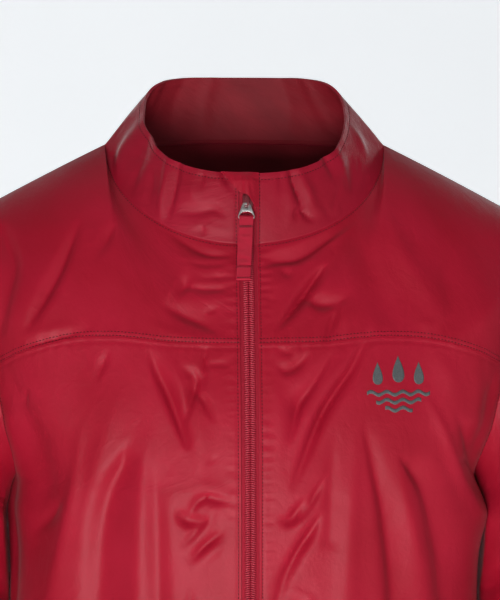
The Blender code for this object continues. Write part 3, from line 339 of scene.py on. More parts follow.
    (0.6, 0.0, ((216, 457, 2, -0.2), (212, 460, 2, -0.6), (208, 463, 2, -0.1))),
    (0.6, 0.0, ((239, 438, 2, -0.5), (233, 437, 2, -0.5), (227, 435, 2, -0.1))),
    (0.6, 0.0, ((261, 422, 2, -0.6), (267, 423, 2, -0.6), (274, 425, 2, -0.1))),
    (0.6, 0.0, ((261, 444, 2, -0.6), (267, 443, 2, -0.5), (272, 443, 2, -0.1))),
    (0.6, 0.0, ((261, 483, 2, -0.6), (267, 484, 2, -0.5), (273, 482, 2, -0.1))),
    (0.6, 0.0, ((261, 495, 2, -0.7), (268, 496, 2, -0.8), (275, 498, 2, -0.1))),
    (0.6, 0.0, ((261, 511, 2, -0.6), (268, 510, 2, -0.7), (274, 508, 2, -0.1))),
    (0.6, 0.0, ((261, 521, 2, -0.7), (269, 522, 2, -0.8), (276, 522, 2, -0.1))),
    (0.6, 0.0, ((261, 330, 2, -0.7), (265, 326, 2, -0.8), (270, 322, 2, -0.1))),
    (0.6, 0.0, ((261, 304, 2, -0.5), (268, 301, 2, -0.6), (276, 300, 2, -0.1))),
)

# folds of the front that lie below the picture, in mm: x, height, half width, height of fold
LOW_FRONT_FOLDS = (
    (0.2, 0.2, ((-52, -330, 12, 0.3), (-58, -400, 15, 3.0), (-62, -480, 16, 3.2),
                (-64, -560, 15, 0.4))),
    (0.2, 0.2, ((-66, -500, 12, -0.3), (-72, -580, 17, -4.4), (-76, -650, 19, -4.6),
                (-78, -700, 19, -3.6))),
    (0.2, 0.2, ((-20, -350, 10, -0.3), (-24, -450, 15, -3.0), (-26, -560, 16, -2.6),
                (-28, -640, 14, -0.3))),
    (0.1, 0.2, ((-116, -440, 14, 0.3), (-120, -540, 19, 4.8), (-123, -640, 21, 5.4),
                (-124, -700, 21, 4.8))),
    (0.2, 0.2, ((-146, -420, 12, -0.3), (-150, -520, 16, -3.8), (-150, -620, 16, -4.0),
                (-150, -700, 16, -3.0))),
    (0.2, 0.2, ((34, -310, 12, -0.3), (38, -420, 17, -3.4), (41, -540, 18, -3.6),
                (42, -640, 15, -0.3))),
    (0.1, 0.2, ((64, -500, 14, 0.3), (68, -580, 19, 4.2), (72, -660, 20, 4.6),
                (73, -700, 20, 4.0))),
    (0.2, 0.2, ((106, -460, 14, -0.3), (110, -550, 19, -4.4), (113, -640, 20, -4.8),
                (114, -700, 20, -3.8))),
    (0.1, 0.2, ((140, -420, 12, 0.3), (144, -520, 15, 3.4), (146, -620, 16, 3.6),
                (146, -700, 16, 2.6))),
    (0.4, 0.0, ((-14, -610, 5, -0.4), (-34, -622, 7, -1.6), (-58, -628, 6, -0.2))),
    (0.4, 0.0, ((14, -560, 5, -0.4), (32, -568, 7, -1.6), (52, -566, 6, -0.2))),
    (0.4, 0.0, ((16, -450, 4, -0.4), (30, -444, 6, -1.4), (48, -432, 5, -0.2))),
    (0.4, 0.0, ((-14, -500, 4, -0.4), (-30, -492, 6, -1.4), (-44, -478, 5, -0.2))),
)

# folds of the back, in mm: x, height, half width, height of fold
BACK_FOLDS = (
    (0.3, 0.2, ((-156, -146, 10, -0.8), (-128, -176, 13, -4.0), (-104, -206, 13, -3.6),
                (-84, -232, 10, -0.4))),
    (0.3, 0.2, ((156, -152, 10, -0.8), (124, -180, 13, -3.8), (100, -200, 12, -3.2),
                (78, -214, 10, -0.3))),
    (0.2, 0.0, ((-140, -128, 9, 0.4), (-108, -160, 11, 2.0), (-80, -190, 10, 0.3))),
    (0.2, 0.0, ((138, -132, 9, 0.4), (104, -160, 11, 2.0), (72, -182, 10, 0.3))),
    (0.2, 0.2, ((-132, -230, 12, 0.4), (-127, -310, 16, 4.4), (-123, -400, 17, 4.6),
                (-118, -490, 15, 0.6))),
    (0.3, 0.2, ((-92, -270, 12, -0.4), (-86, -350, 17, -4.4), (-82, -460, 18, -4.8),
                (-78, -580, 16, -1.2))),
    (0.1, 0.2, ((-34, -310, 14, 0.4), (-30, -430, 22, 4.0), (-27, -560, 23, 4.4),
                (-24, -700, 22, 3.6))),
    (0.3, 0.2, ((24, -250, 10, -0.4), (29, -340, 17, -4.0), (33, -450, 18, -4.0),
                (36, -550, 15, -0.5))),
    (0.1, 0.2, ((80, -290, 14, 0.4), (85, -410, 20, 4.4), (88, -540, 21, 4.8),
                (90, -700, 20, 3.8))),
    (0.3, 0.2, ((136, -240, 11, -0.4), (132, -320, 16, -4.0), (129, -420, 16, -4.0),
                (126, -530, 14, -0.5))),
    (0.5, 0.0, ((-60, -120, 6, -0.4), (-30, -128, 8, -1.6), (4, -124, 7, -0.3))),
    (0.5, 0.0, ((-50, -60, 5, -0.3), (-20, -70, 7, -1.4), (18, -72, 7, -1.3), (50, -62, 5, -0.3))),
    (0.5, 0.0, ((-66, -480, 6, -0.4), (-30, -496, 9, -1.8), (10, -490, 8, -0.3))),
    (0.5, 0.0, ((40, -590, 6, -0.4), (70, -604, 9, -2.0), (104, -600, 8, -0.3))),
    (0.5, 0.0, ((-150, -540, 6, -0.4), (-120, -560, 9, -2.2), (-96, -566, 8, -0.3))),
    (0.2, 0.2, ((-56, -560, 12, -0.4), (-58, -620, 16, -3.4), (-60, -700, 18, -3.2))),
    (0.2, 0.2, ((56, -560, 12, -0.4), (58, -630, 16, -3.6), (60, -700, 18, -3.4))),
    (0.2, 0.2, ((-108, -600, 12, 0.4), (-112, -650, 16, 3.0), (-113, -700, 18, 3.0))),
    (0.2, 0.2, ((122, -580, 12, -0.4), (124, -640, 16, -3.4), (124, -700, 18, -3.2))),
)

# folds of the collar that the picture shows, as SEEN_FOLDS
SEEN_COLLAR_FOLDS = (
    (0.5, 0.0, ((217, 160, 3, -1.6), (225, 178, 3, -2.6), (234, 191, 3, -2.2),
                (241, 200, 2, -0.6))),
    (0.2, 0.2, ((142, 108, 5, 0.8), (134, 128, 7, 2.6), (122, 156, 7, 3.0), (118, 182, 5, 0.4))),
    (0.3, 0.0, ((150, 130, 5, -0.5), (142, 150, 7, -2.0), (134, 176, 6, -1.6),
                (130, 196, 4, -0.3))),
    (0.3, 0.0, ((132, 108, 4, -0.3), (122, 128, 5, -1.6), (112, 152, 5, -1.2),
                (108, 170, 4, -0.2))),
    (0.2, 0.0, ((138, 156, 3, 0.2), (133, 168, 4, 1.2), (128, 182, 3, 0.2))),
    (0.3, 0.0, ((169, 150, 3, 0.4), (166, 176, 4, 2.2), (162, 200, 4, 2.2), (160, 220, 3, 0.5))),
    (0.45, 0.0, ((180, 154, 3, -0.8), (176, 178, 4, -2.2), (171, 200, 4, -2.0),
                 (167, 219, 3, -0.5))),
    (0.3, 0.0, ((153, 168, 4, -0.3), (150, 186, 5, -1.6), (148, 206, 4, -0.4))),
    (0.4, 0.0, ((203, 170, 2, -0.3), (201, 180, 3, -1.1), (200, 190, 2, -0.2))),
    (0.2, 0.0, ((188, 180, 5, 0.2), (192, 192, 6, 1.1), (196, 202, 4, 0.2))),
    (0.2, 0.2, ((176, 212, 5, -0.4), (198, 212, 6, -1.5), (214, 210, 5, -1.7),
                (225, 217, 3, -0.3))),
    (0.2, 0.0, ((178, 226, 4, 0.2), (202, 226, 5, 0.9), (226, 230, 4, 0.3))),
    (0.5, 0.0, ((203, 222, 2, -0.3), (202, 230, 3, -0.8), (202, 238, 2, -0.2))),
    (0.5, 0.1, ((290, 166, 4, -2.2), (295, 184, 4, -3.0), (301, 200, 4, -2.6),
                (304, 212, 3, -1.4))),
    (0.5, 0.0, ((303, 211, 2, -1.0), (308, 217, 3, -1.8), (314, 221, 2, -0.3))),
    (0.5, 0.0, ((302, 206, 2, -0.8), (297, 212, 3, -1.8), (296, 221, 2, -0.3))),
    (0.2, 0.0, ((300, 170, 4, 0.6), (308, 190, 5, 1.8), (314, 206, 5, 1.2), (322, 214, 3, 0.2))),
    (0.2, 0.0, ((284, 178, 4, 0.3), (290, 200, 5, 1.2), (288, 220, 4, 0.3))),
    (0.3, 0.0, ((281, 168, 3, -0.5), (281, 182, 3, -1.0), (280, 197, 2, -0.2))),
    (0.45, 0.0, ((322, 148, 3, -0.8), (328, 162, 4, -2.0), (335, 180, 3, -0.3))),
    (0.2, 0.0, ((334, 144, 4, 0.4), (340, 160, 5, 1.6), (346, 178, 4, 0.3))),
    (0.3, 0.0, ((352, 124, 3, 0.5), (359, 140, 4, 2.0), (367, 156, 3, 0.4))),
    (0.3, 0.0, ((362, 112, 4, -0.5), (370, 132, 5, -1.8), (378, 150, 4, -0.3))),
    (0.2, 0.0, ((350, 156, 5, -0.3), (354, 176, 6, -1.6), (352, 194, 4, -0.3))),
)

# folds of the collar behind: distance round from the middle of the back, height above the
# neckline as a share, half width, height of fold
COLLAR_BACK_FOLDS = (
    (0.3, 0.0, ((-74, 10, 6, -0.4), (-70, 34, 8, -1.6), (-66, 58, 6, -1.2))),
    (0.2, 0.0, ((-38, 6, 6, 0.4), (-42, 30, 9, 1.5), (-40, 60, 7, 1.0))),
    (0.3, 0.0, ((-8, 14, 6, -0.3), (-4, 36, 8, -1.4), (2, 58, 6, -0.8))),
    (0.3, 0.0, ((30, 8, 6, -0.4), (34, 32, 8, -1.5), (31, 58, 6, -1.0))),
    (0.2, 0.0, ((58, 6, 6, 0.4), (63, 34, 9, 1.6), (60, 60, 7, 1.0))),
    (0.3, 0.0, ((88, 10, 6, -0.4), (92, 34, 8, -1.6), (94, 58, 6, -1.0))),
)

# folds of a sleeve: turn from the outer side towards the front in degrees, height,
# half turn, half height, height of fold
SLEEVE_FOLDS = (
    (60.0, -190.0, 26.0, 26.0, -5.0),
    (120.0, -232.0, 30.0, 14.0, -4.0),
    (-70.0, -205.0, 26.0, 24.0, -5.0),
    (150.0, -330.0, 42.0, 14.0, -4.5),
    (95.0, -385.0, 48.0, 13.0, -5.0),
    (105.0, -425.0, 52.0, 12.0, -5.5),
    (60.0, -408.0, 36.0, 12.0, 3.0),
    (125.0, -462.0, 46.0, 12.0, -4.5),
    (-90.0, -440.0, 44.0, 22.0, 4.0),
    (20.0, -520.0, 60.0, 16.0, -3.5),
    (170.0, -555.0, 44.0, 14.0, -3.5),
    (-60.0, -590.0, 52.0, 15.0, -3.5),
    (80.0, -628.0, 48.0, 12.0, -3.5),
    (-150.0, -650.0, 44.0, 11.0, -3.0),
)

# slanting creases of a sleeve: turn in degrees, height, half width in mm, height of fold
SLEEVE_CREASES = (
    (0.5, 0.2, ((30, -372, 4, -0.3), (70, -384, 6, -2.2), (110, -402, 6, -2.6),
                (150, -396, 4, -0.3))),
    (0.5, 0.2, ((40, -436, 4, -0.3), (80, -428, 6, -2.4), (120, -436, 6, -2.6),
                (165, -452, 4, -0.3))),
    (0.5, 0.2, ((70, -470, 4, -0.3), (110, -478, 6, -2.0), (150, -490, 5, -0.3))),
    (0.4, 0.2, ((120, -300, 4, -0.4), (150, -326, 7, -2.6), (190, -344, 6, -0.4))),
    (0.4, 0.2, ((-40, -250, 4, -0.3), (-66, -276, 7, -2.4), (-88, -306, 5, -0.3))),
    (0.4, 0.2, ((36, -236, 4, -0.3), (60, -262, 7, -2.4), (84, -300, 5, -0.3))),
    (0.5, 0.0, ((-140, -396, 4, -0.3), (-100, -410, 6, -2.0), (-60, -402, 4, -0.3))),
    (0.5, 0.0, ((-30, -470, 4, -0.3), (-70, -484, 6, -2.0), (-110, -480, 4, -0.3))),
    (0.5, 0.0, ((0, -540, 4, -0.3), (40, -552, 6, -1.8), (80, -548, 4, -0.3))),
    (0.5, 0.0, ((110, -590, 4, -0.3), (150, -604, 6, -2.0), (195, -600, 4, -0.3))),
    (0.5, 0.0, ((-10, -640, 4, -0.3), (30, -650, 5, -1.8), (80, -654, 4, -0.3))),
    (0.5, 0.0, ((-160, -560, 4, -0.3), (-120, -552, 6, -2.0), (-70, -560, 4, -0.3))),
    (0.5, 0.0, ((-60, -640, 4, -0.3), (-100, -632, 5, -1.8), (-140, -640, 4, -0.3))),
)

# zip flap: x, how far it stands off the collar
GARAGE_LIFT = (
    (-19.0, 3.0),
    (-10.0, 3.7),
    (-4.5, 4.0),
    (-1.5, 5.3),
    (1.5, 5.1),
    (4.2, 2.9),
    (7.0, 0.3),
    (8.0, 0.0),
)
GARAGE_RIGHT = 8.0

# the flap's free edge: share of the way down, x; it keeps clear of the puller's swing
GARAGE_EDGE = (
    (0.0, -19.0),
    (0.15, -15.8),
    (0.37, -11.5),
    (0.56, -7.0),
    (0.64, -3.2),
    (0.72, 0.9),
    (0.85, 3.4),
    (1.0, 5.8),
)
GARAGE_REACH = 0.49
GARAGE_OFF = 1.5            # its face, out from the collar's
GARAGE_SHELL = 1.1

SLIDER_HEIGHT = -45.0
SLIDER_WIDTH = 7.6
SLIDER_LENGTH = 9.6
SLIDER_FACE = 1.9
BRIDGE_LENGTH = 8.0
BRIDGE_THICKNESS = 1.1
BRIDGE_WINDOW = 1.9
BAIL_WIRE = 1.3
PULLER_SHIFT = -1.2
BAIL_LENGTH = 10.5
PULL_TAPE_WIDTH = 10.2
PULL_TAPE_LENGTH = 46.0
PULL_TAPE_THICKNESS = 2.2
PULL_TAPE_PLY = 0.85
PULL_TAPE_DRIFT = -2.6
PULL_TAPE_CLEARANCE = 0.9
ZIP_BOX_TOP = -680.4

TOOTH_PITCH = 1.55
STITCH_PITCH = 2.5
STITCH_LENGTH = 1.6
STITCH_WIDTH = 0.72

# ------------------------------------------------------------------ small geometry tools

def hermite(start, leave, end, arrive, share):
    """Points on the cubic that leaves start and arrives at end with the given tangents."""
    square = share * share
    cube = square * share
    from_start = (2 * cube - 3 * square + 1) * start + (cube - 2 * square + share) * leave
    return from_start + (3 * square - 2 * cube) * end + (cube - square) * arrive


def table_at(table, key):
    """Values of a table at an array of keys, on a smooth curve through its rows."""
    rows = np.array(table, float)
    keys = rows[:, 0]
    values = rows[:, 1:]
    count = len(keys)
    above = np.minimum(np.arange(count) + 1, count - 1)
    below = np.maximum(np.arange(count) - 1, 0)
    slopes = (values[above] - values[below]) / (keys[above] - keys[below])[:, None]
    key = np.clip(np.asarray(key, float), keys[0], keys[-1])
    low = np.clip(np.searchsorted(keys, key, side="right") - 1, 0, count - 2)
    span = (keys[low + 1] - keys[low])[..., None]
    share = (key - keys[low])[..., None] / span
    leave = slopes[low] * span
    arrive = slopes[low + 1] * span
    return hermite(values[low], leave, values[low + 1], arrive, share)


def ease(value, low, high):
    """0 below low, 1 above high, and a soft step between."""
    share = np.clip((value - low) / (high - low), 0.0, 1.0)
    return share * share * (3 - 2 * share)


def unit(vectors):
    """The vectors made 1 long."""
    lengths = np.linalg.norm(vectors, axis=-1, keepdims=True)
    return vectors / np.maximum(lengths, 1e-9)


def lengths_along(points):
    """Distance from the first point of a polyline to each of its points."""
    steps = np.linalg.norm(np.diff(points, axis=0), axis=1)
    return np.concatenate(([0.0], np.cumsum(steps)))


def along_line(points, places):
    """Points of a polyline at distances from its start."""
    run = lengths_along(points)
    return np.stack([np.interp(places, run, points[:, axis]) for axis in range(3)], axis=-1)


def spaced(length, step, close_start, close_end):
    """Shares of a length about a step apart, and closer together at an end with a seam."""
    near = np.array((0.5, 1.1, 1.8, 2.7, 4.0))
    near = near[near < length / 4]
    first = near if close_start else near[:0]
    last = length - near[::-1] if close_end else near[:0]
    low = first[-1] if len(first) else 0.0
    high = last[0] if len(last) else length
    count = max(int(round((high - low) / step)), 2)
    middle = np.linspace(low, high, count + 1)
    places = np.concatenate(([0.0], first, middle, last, [length]))
    return np.unique(np.round(places, 4)) / length


def seen(points):
    """Where points show in the picture, in its pixels across and down."""
    turn = math.radians(EYE_TURN)
    right = np.array((math.cos(turn), math.sin(turn), 0.0))
    forward = np.array((-math.sin(turn), math.cos(turn), 0.0))
    offset = points - (LOOK_AT - forward * EYE_DISTANCE)
    scale = EYE_DISTANCE / (offset @ forward) * PIXELS_ACROSS / PICTURE_WIDTH
    across = PIXELS_ACROSS / 2 + offset @ right * scale
    down = PIXELS_DOWN / 2 - offset[..., 2] * scale
    return across, down


# ------------------------------------------------------------------ folds on the cloth

def rounded_path(knots):
    """Points on a smooth curve through the knots of a fold."""
    knots = np.array(knots, float)
    count = len(knots)
    above = np.minimum(np.arange(count) + 1, count - 1)
    below = np.maximum(np.arange(count) - 1, 0)
    slopes = (knots[above] - knots[below]) / 2
    slopes[0] = knots[1] - knots[0]
    slopes[-1] = knots[-1] - knots[-2]
    points = []
    for number in range(count - 1):
        for share in np.linspace(0.0, 1.0, 7)[:-1]:
            start, end = knots[number], knots[number + 1]
            points.append(hermite(start, slopes[number], end, slopes[number + 1], share))
    points.append(knots[-1])
    return np.array(points)


def fold_heights(x, y, folds, trough=1.0, ridge=1.0):
    """Height of the cloth at places, from folds whose knots give place, half width, height."""
    total = np.zeros(x.shape)
    for crisp, lean, knots in folds:
        path = rounded_path(knots)
        path[:, 3] *= np.where(path[:, 3] < 0.0, trough, ridge)
        reach = 3.2 * path[:, 2].max() * (1.0 + abs(lean))
        low = path[:, :2].min(axis=0) - reach
        high = path[:, :2].max(axis=0) + reach
        near = (x > low[0]) & (x < high[0]) & (y > low[1]) & (y < high[1])
        if near.any():
            total[near] += one_fold(x[near], y[near], path, crisp, lean)
    return total


def one_fold(x, y, path, crisp, lean):
    """Height that one fold gives to places, from the nearest point of its path."""
    best = np.full(x.shape, 1e9)
    side = np.zeros(x.shape)
    width = np.ones(x.shape)
    height = np.zeros(x.shape)
    for start, end in zip(path[:-1], path[1:]):
        along = end[:2] - start[:2]
        length = max(float(np.hypot(*along)), 1e-6)
        along = along / length
        run = (x - start[0]) * along[0] + (y - start[1]) * along[1]
        across = (x - start[0]) * along[1] - (y - start[1]) * along[0]
        share = np.clip(run / length, 0.0, 1.0)
        distance = np.hypot(across, run - share * length)
        closer = distance < best
        best = np.where(closer, distance, best)
        side = np.where(closer, across, side)
        width = np.where(closer, start[2] + (end[2] - start[2]) * share, width)
        height = np.where(closer, start[3] + (end[3] - start[3]) * share, height)
    width = width * (1.0 + lean * np.tanh(side / np.maximum(width, 0.1) * 2.0))
    reach = best / np.maximum(width, 0.1)
    soft = np.exp(-reach * reach)
    rounded = np.sqrt(reach * reach + CREASE_ROUNDING) - math.sqrt(CREASE_ROUNDING)
    sharp = np.exp(-CREASE_FALL * rounded)
    return height * (soft * (1.0 - crisp) + sharp * crisp)


def rumple(x, y, cell, seed):
    """A smooth random field from -1 to 1, with lumps of about one cell."""
    values = np.random.default_rng(seed).uniform(-1.0, 1.0, (RUMPLE_CELLS, RUMPLE_CELLS))
    even, cross = RUMPLE_TURN
    across, up = (even * x + cross * y) / cell, (even * y - cross * x) / cell
    column, row = np.floor(across).astype(int), np.floor(up).astype(int)
    across, up = across - column, up - row
    across = across * across * (3 - 2 * across)
    up = up * up * (3 - 2 * up)
    left, right = column % RUMPLE_CELLS, (column + 1) % RUMPLE_CELLS
    below, above = row % RUMPLE_CELLS, (row + 1) % RUMPLE_CELLS
    low = values[left, below] * (1 - across) + values[right, below] * across
    high = values[left, above] * (1 - across) + values[right, above] * across
    return low * (1 - up) + high * up


def creased(x, y, cell, seed):
    """Soft facets with narrow creases between them, as on cloth that was folded small."""
    bent = rumple(x + 40.0, y - 25.0, cell * 1.7, seed + 1) * cell * 0.5
    field = rumple(x + bent, y + bent * 0.7, cell, seed)
    return 0.35 - np.sqrt(field * field + 0.006)


def strewn_folds(seed, count, low, high, lean_angle, length, width, height):
    """Short creases at random places, for cloth that the picture doesn't show closely."""
    draw = np.random.default_rng(seed)
    folds = []
    for _ in range(count):
        x, y = draw.uniform(low[0], high[0]), draw.uniform(low[1], high[1])
        angle = math.radians(lean_angle + draw.normal(0.0, 28.0))
        half = draw.uniform(0.5, 1.0) * length / 2
        bend = draw.uniform(-0.18, 0.18) * length
        step = np.array((math.cos(angle), math.sin(angle)))
        side = np.array((-step[1], step[0]))
        middle = np.array((x, y)) + side * bend
        first, last = np.array((x, y)) - step * half, np.array((x, y)) + step * half
        wide = width * draw.uniform(0.6, 1.2)
        tall = height * draw.uniform(0.4, 1.0) * draw.choice((-1.0, -1.0, 1.0))
        folds.append((draw.uniform(0.1, 0.6), draw.uniform(-0.3, 0.3), (
            (*first, wide * 0.6, 0.0), (*middle, wide, tall), (*last, wide * 0.6, 0.0))))
    return tuple(folds)


# ------------------------------------------------------------------ torso

def side_fullness(grid):
    """How far the cloth at the sides stands out below the arms, in mm."""
    x, z = np.abs(grid[..., 0]), grid[..., 2]
    below = ease(-z, 246.0, 272.0) * (1.0 - 0.6 * ease(-z, 420.0, 600.0))
    return SIDE_FULLNESS * ease(x, 118.0, 166.0) * below


def chest_fullness(grid):
    """How far the cloth before the armholes stands out to the front and to the side, in mm."""
    x, z = np.abs(grid[..., 0]), grid[..., 2]
    near = ease(x, 112.0, 176.0) * ease(-z, 70.0, 140.0) * (1.0 - ease(-z, 195.0, 248.0))
    out = np.where(grid[..., 0] > 0.0, CHEST_OUT_LEFT, CHEST_OUT_RIGHT)
    return CHEST_FORWARD * near, out * near


SECTION_STEP = 2.0
SECTION_POINTS = 257


def section_table(is_front):
    """Torso sections at close heights: points at even shares of each, and its two ends."""
    heights = np.arange(HEM_HEIGHT, TORSO[-1][0] + SECTION_STEP, SECTION_STEP)
    sizes = table_at(TORSO, heights)
    edges = np.maximum(table_at(ARMHOLE, heights)[:, 0 if is_front else 1], 0.0)
    turn = np.linspace(0.0, math.pi / 2, 641)
    shares = np.linspace(0.0, 1.0, SECTION_POINTS)
    points = np.zeros((len(heights), SECTION_POINTS, 2))
    ends = np.zeros((len(heights), 2))
    for row, (half_width, front, back) in enumerate(sizes):
        across = half_width * np.abs(np.sin(turn)) ** (2 / TORSO_POWER)
        deep = (front if is_front else back) * np.abs(np.cos(turn)) ** (2 / TORSO_POWER)
        run = np.concatenate(([0.0], np.cumsum(np.hypot(np.diff(across), np.diff(deep)))))
        run = run / run[-1]
        points[row, :, 0] = np.interp(shares, run, across)
        points[row, :, 1] = np.interp(shares, run, deep)
        ends[row, 0] = np.interp(ZIP_EDGE, across, run) if is_front else 0.0
        ends[row, 1] = np.interp(-edges[row], -deep, run)
    return points, ends


def torso_points(section, height, share, is_front):
    """Points of the torso on the side of +X, at heights and column shares."""
    points, ends = section
    height, share = np.broadcast_arrays(height, share)
    row = np.clip((height - HEM_HEIGHT) / SECTION_STEP, 0.0, len(points) - 1.001)
    low = row.astype(int)
    part = (row - low)[..., None]
    end = ends[low] * (1 - part) + ends[low + 1] * part
    middle = end[..., 0] + (COLUMN_BEND_ARC - end[..., 0]) * np.minimum(share / COLUMN_BEND, 1.0)
    past = np.maximum(share - COLUMN_BEND, 0.0) / (1.0 - COLUMN_BEND)
    place = np.clip(middle + (end[..., 1] - middle) * past, 0.0, 1.0) * (SECTION_POINTS - 1.001)
    column = place.astype(int)
    step = (place - column)[..., None]
    lower = points[low, column] * (1 - step) + points[low, column + 1] * step
    upper = points[low + 1, column] * (1 - step) + points[low + 1, column + 1] * step
    flat = lower * (1 - part) + upper * part
    deep = -flat[..., 1] if is_front else flat[..., 1]
    return np.stack((flat[..., 0], deep, height), axis=-1)


def top_points(step, is_front):
    """Points of the top edge: step 0 at the middle, 1 at the neck point, 2 at the tip."""
    first = math.asin(ZIP_EDGE / NECK_HALF_WIDTH) if is_front else 0.0
    turn = first + (math.pi / 2 - first) * np.minimum(step, 1.0)
    depth = -NECK_FRONT_DEPTH if is_front else NECK_BACK_DEPTH
    rise = -NECK_FRONT_DROP if is_front else NECK_BACK_RISE
    neck = (NECK_HALF_WIDTH * np.sin(turn), depth * np.cos(turn), rise * np.cos(turn))
    share = np.maximum(step - 1.0, 0.0)
    out = (SHOULDER_TIP_X - NECK_HALF_WIDTH) * share
    drop = SHOULDER_SLOPE * out + SHOULDER_SAG * out * out
    shoulder = (NECK_HALF_WIDTH + out, SHOULDER_TIP_Y * share, -drop)
    on_neck = (step <= 1.0)[..., None]
    return np.where(on_neck, np.stack(neck, axis=-1), np.stack(shoulder, axis=-1))


def torso_half(is_front, shares, lower_heights, rises, upper_shares):
    """Rows from the hem to the top edge on the side of +X, and the row of the yoke seam."""
    section = section_table(is_front)
    seam = np.full(shares.shape, BACK_LINE_HEIGHT)
    if is_front:
        for _ in range(5):
            across = torso_points(section, seam, shares, True)[..., 0]
            seam = table_at(YOKE_SEAM, across)[..., 0]
    below = np.broadcast_to(lower_heights[:, None], (len(lower_heights), len(shares)))
    above = UNDERARM_HEIGHT + (seam[None, :] - UNDERARM_HEIGHT) * rises[1:, None]
    heights = np.concatenate((below, above))
    lower = torso_points(section, heights, shares[None, :], is_front)
    start = lower[-1]
    before = torso_points(section, start[:, 2] - 8.0, shares, is_front)
    neck_share = NECK_SHARE_FRONT if is_front else NECK_SHARE_BACK
    past = 1.0 + (shares - neck_share) / (1.0 - neck_share)
    step = np.where(shares <= neck_share, shares / neck_share, past)
    end = top_points(step, is_front)
    reach = np.linalg.norm(end - start, axis=-1, keepdims=True)
    arrival = table_at(FRONT_ARRIVAL if is_front else BACK_ARRIVAL, step)
    leave, arrive = unit(start - before) * reach, unit(arrival) * reach
    upper = [hermite(start, leave, end, arrive, share) for share in upper_shares[1:]]
    return np.concatenate((lower, np.array(upper))), len(lower) - 1


def grid_normals(grid, sign, closed=False):
    """Outward normals of a grid of points."""
    if closed:
        over = np.roll(grid, -1, axis=1) - np.roll(grid, 1, axis=1)
    else:
        over = np.gradient(grid, axis=1)
    return unit(np.cross(over, np.gradient(grid, axis=0)) * sign)


def cloth_places(grid):
    """Distance of each point along its row and along its column, for patterns."""
    over = np.linalg.norm(np.diff(grid, axis=1), axis=2)
    up = np.linalg.norm(np.diff(grid, axis=0), axis=2)
    across = np.concatenate((np.zeros((grid.shape[0], 1)), np.cumsum(over, axis=1)), axis=1)
    along = np.concatenate((np.zeros((1, grid.shape[1])), np.cumsum(up, axis=0)))
    return across, along


def along_seam(run, seed, pitch, height):
    """Small uneven puckers along a seam, at distances along it."""
    drift = rumple(run, run * 0.0, pitch * 6.0, seed) * pitch * 1.5
    strength = 0.55 + 0.45 * rumple(run, run * 0.0 + 9.0, pitch * 4.0, seed + 7)
    return height * strength * np.sin((run + drift) * 2 * math.pi / pitch)


# lengths along the cloth that the grids are spaced for
FRONT_LENGTH = 232.0        # round the front, from the zip to the side
FRONT_HIDDEN = 366.0        # up the front, from the hem to where the picture begins
FRONT_SEEN_FROM = -320.0    # height of that place
FRONT_RISE = 103.0          # from the underarm to the yoke seam
YOKE_LENGTH = 120.0         # from there to the top edge
BACK_LENGTH = 262.0
BACK_LOWER = 440.0
BACK_RISE = 100.0
BACK_UPPER = 190.0
SLEEVE_CAP = 150.0          # from the armhole to the sleeve's highest ring
SLEEVE_LOWER = 402.0        # from there to the cuff
COLLAR_HEIGHT = 64.0


def front_half(side):
    """The whole front on one side with its folds; columns run from -X to +X."""
    shares = spaced(FRONT_LENGTH, 2.1, True, True)
    framed = np.arange(FRONT_SEEN_FROM, UNDERARM_HEIGHT, 2.1)
    hidden = HEM_HEIGHT + spaced(FRONT_HIDDEN, 3.9, True, False) * FRONT_HIDDEN
    lower_heights = np.concatenate((hidden, framed, [UNDERARM_HEIGHT]))
    rises = spaced(FRONT_RISE, 2.0, False, True)
    upper_shares = spaced(YOKE_LENGTH, 2.0, True, True)
    grid, seam_row = torso_half(True, shares, lower_heights, rises, upper_shares)
    if side == "right":
        grid = grid[:, ::-1] * np.array((-1.0, 1.0, 1.0))
    seed = 11 if side == "left" else 23
    normals = grid_normals(grid, 1.0)
    x, y, z = grid[..., 0], grid[..., 1], grid[..., 2]
    across, down = seen(grid)
    heights = fold_heights(across, down, SEEN_FOLDS, *SEEN_DEPTHS)
    heights += fold_heights(x, z, LOW_FRONT_FOLDS, *LOW_FRONT_DEPTHS)
    strewn = strewn_folds(seed, 46, (10.0, -690.0), (175.0, -330.0), 84.0, 46.0, 5.0, 1.5)
    mirror = 1.0 if side == "left" else -1.0
    heights += fold_heights(x * mirror, z, strewn)
    heights += 1.0 * rumple(x, z, 52.0, seed) + 0.30 * rumple(x, z, 19.0, seed + 2)
    heights += 0.30 * creased(x, z * 0.8, 26.0, seed + 3)
    heights *= ease(-y, 0.0, 20.0)
    heights *= ease(np.abs(x), 8.0, 22.0) * 0.8 + 0.2
    # beside the zip: puckers, then the turned edge and the groove of its stitches
    edge = np.exp(-((np.abs(x) - 11.5) / 4.5) ** 2)
    heights += edge * along_seam(z, seed + 4, 6.5, 0.42)
    heights += 0.12 * np.exp(-((np.abs(x) - 6.5) / 1.6) ** 2)
    heights -= 0.42 * np.exp(-((np.abs(x) - 8.4) / 0.8) ** 2)
    # at the yoke seam: a groove on each side of it, and puckers
    off_seam = z - grid[seam_row][None, :, 2]
    heights -= 0.35 * np.exp(-((off_seam + 2.8) / 0.9) ** 2) * (off_seam < 0)
    heights -= 0.25 * np.exp(-((off_seam - 1.0) / 0.8) ** 2) * (off_seam > 0)
    heights += np.exp(-(off_seam / 7.0) ** 2) * along_seam(x, seed + 5, 9.0, 0.40)
    moved = grid + normals * heights[..., None]
    forward, sideways = chest_fullness(grid)
    moved[..., 0] += (side_fullness(grid) + sideways) * mirror
    moved[..., 1] -= forward
    return moved, seam_row, len(lower_heights) - 1


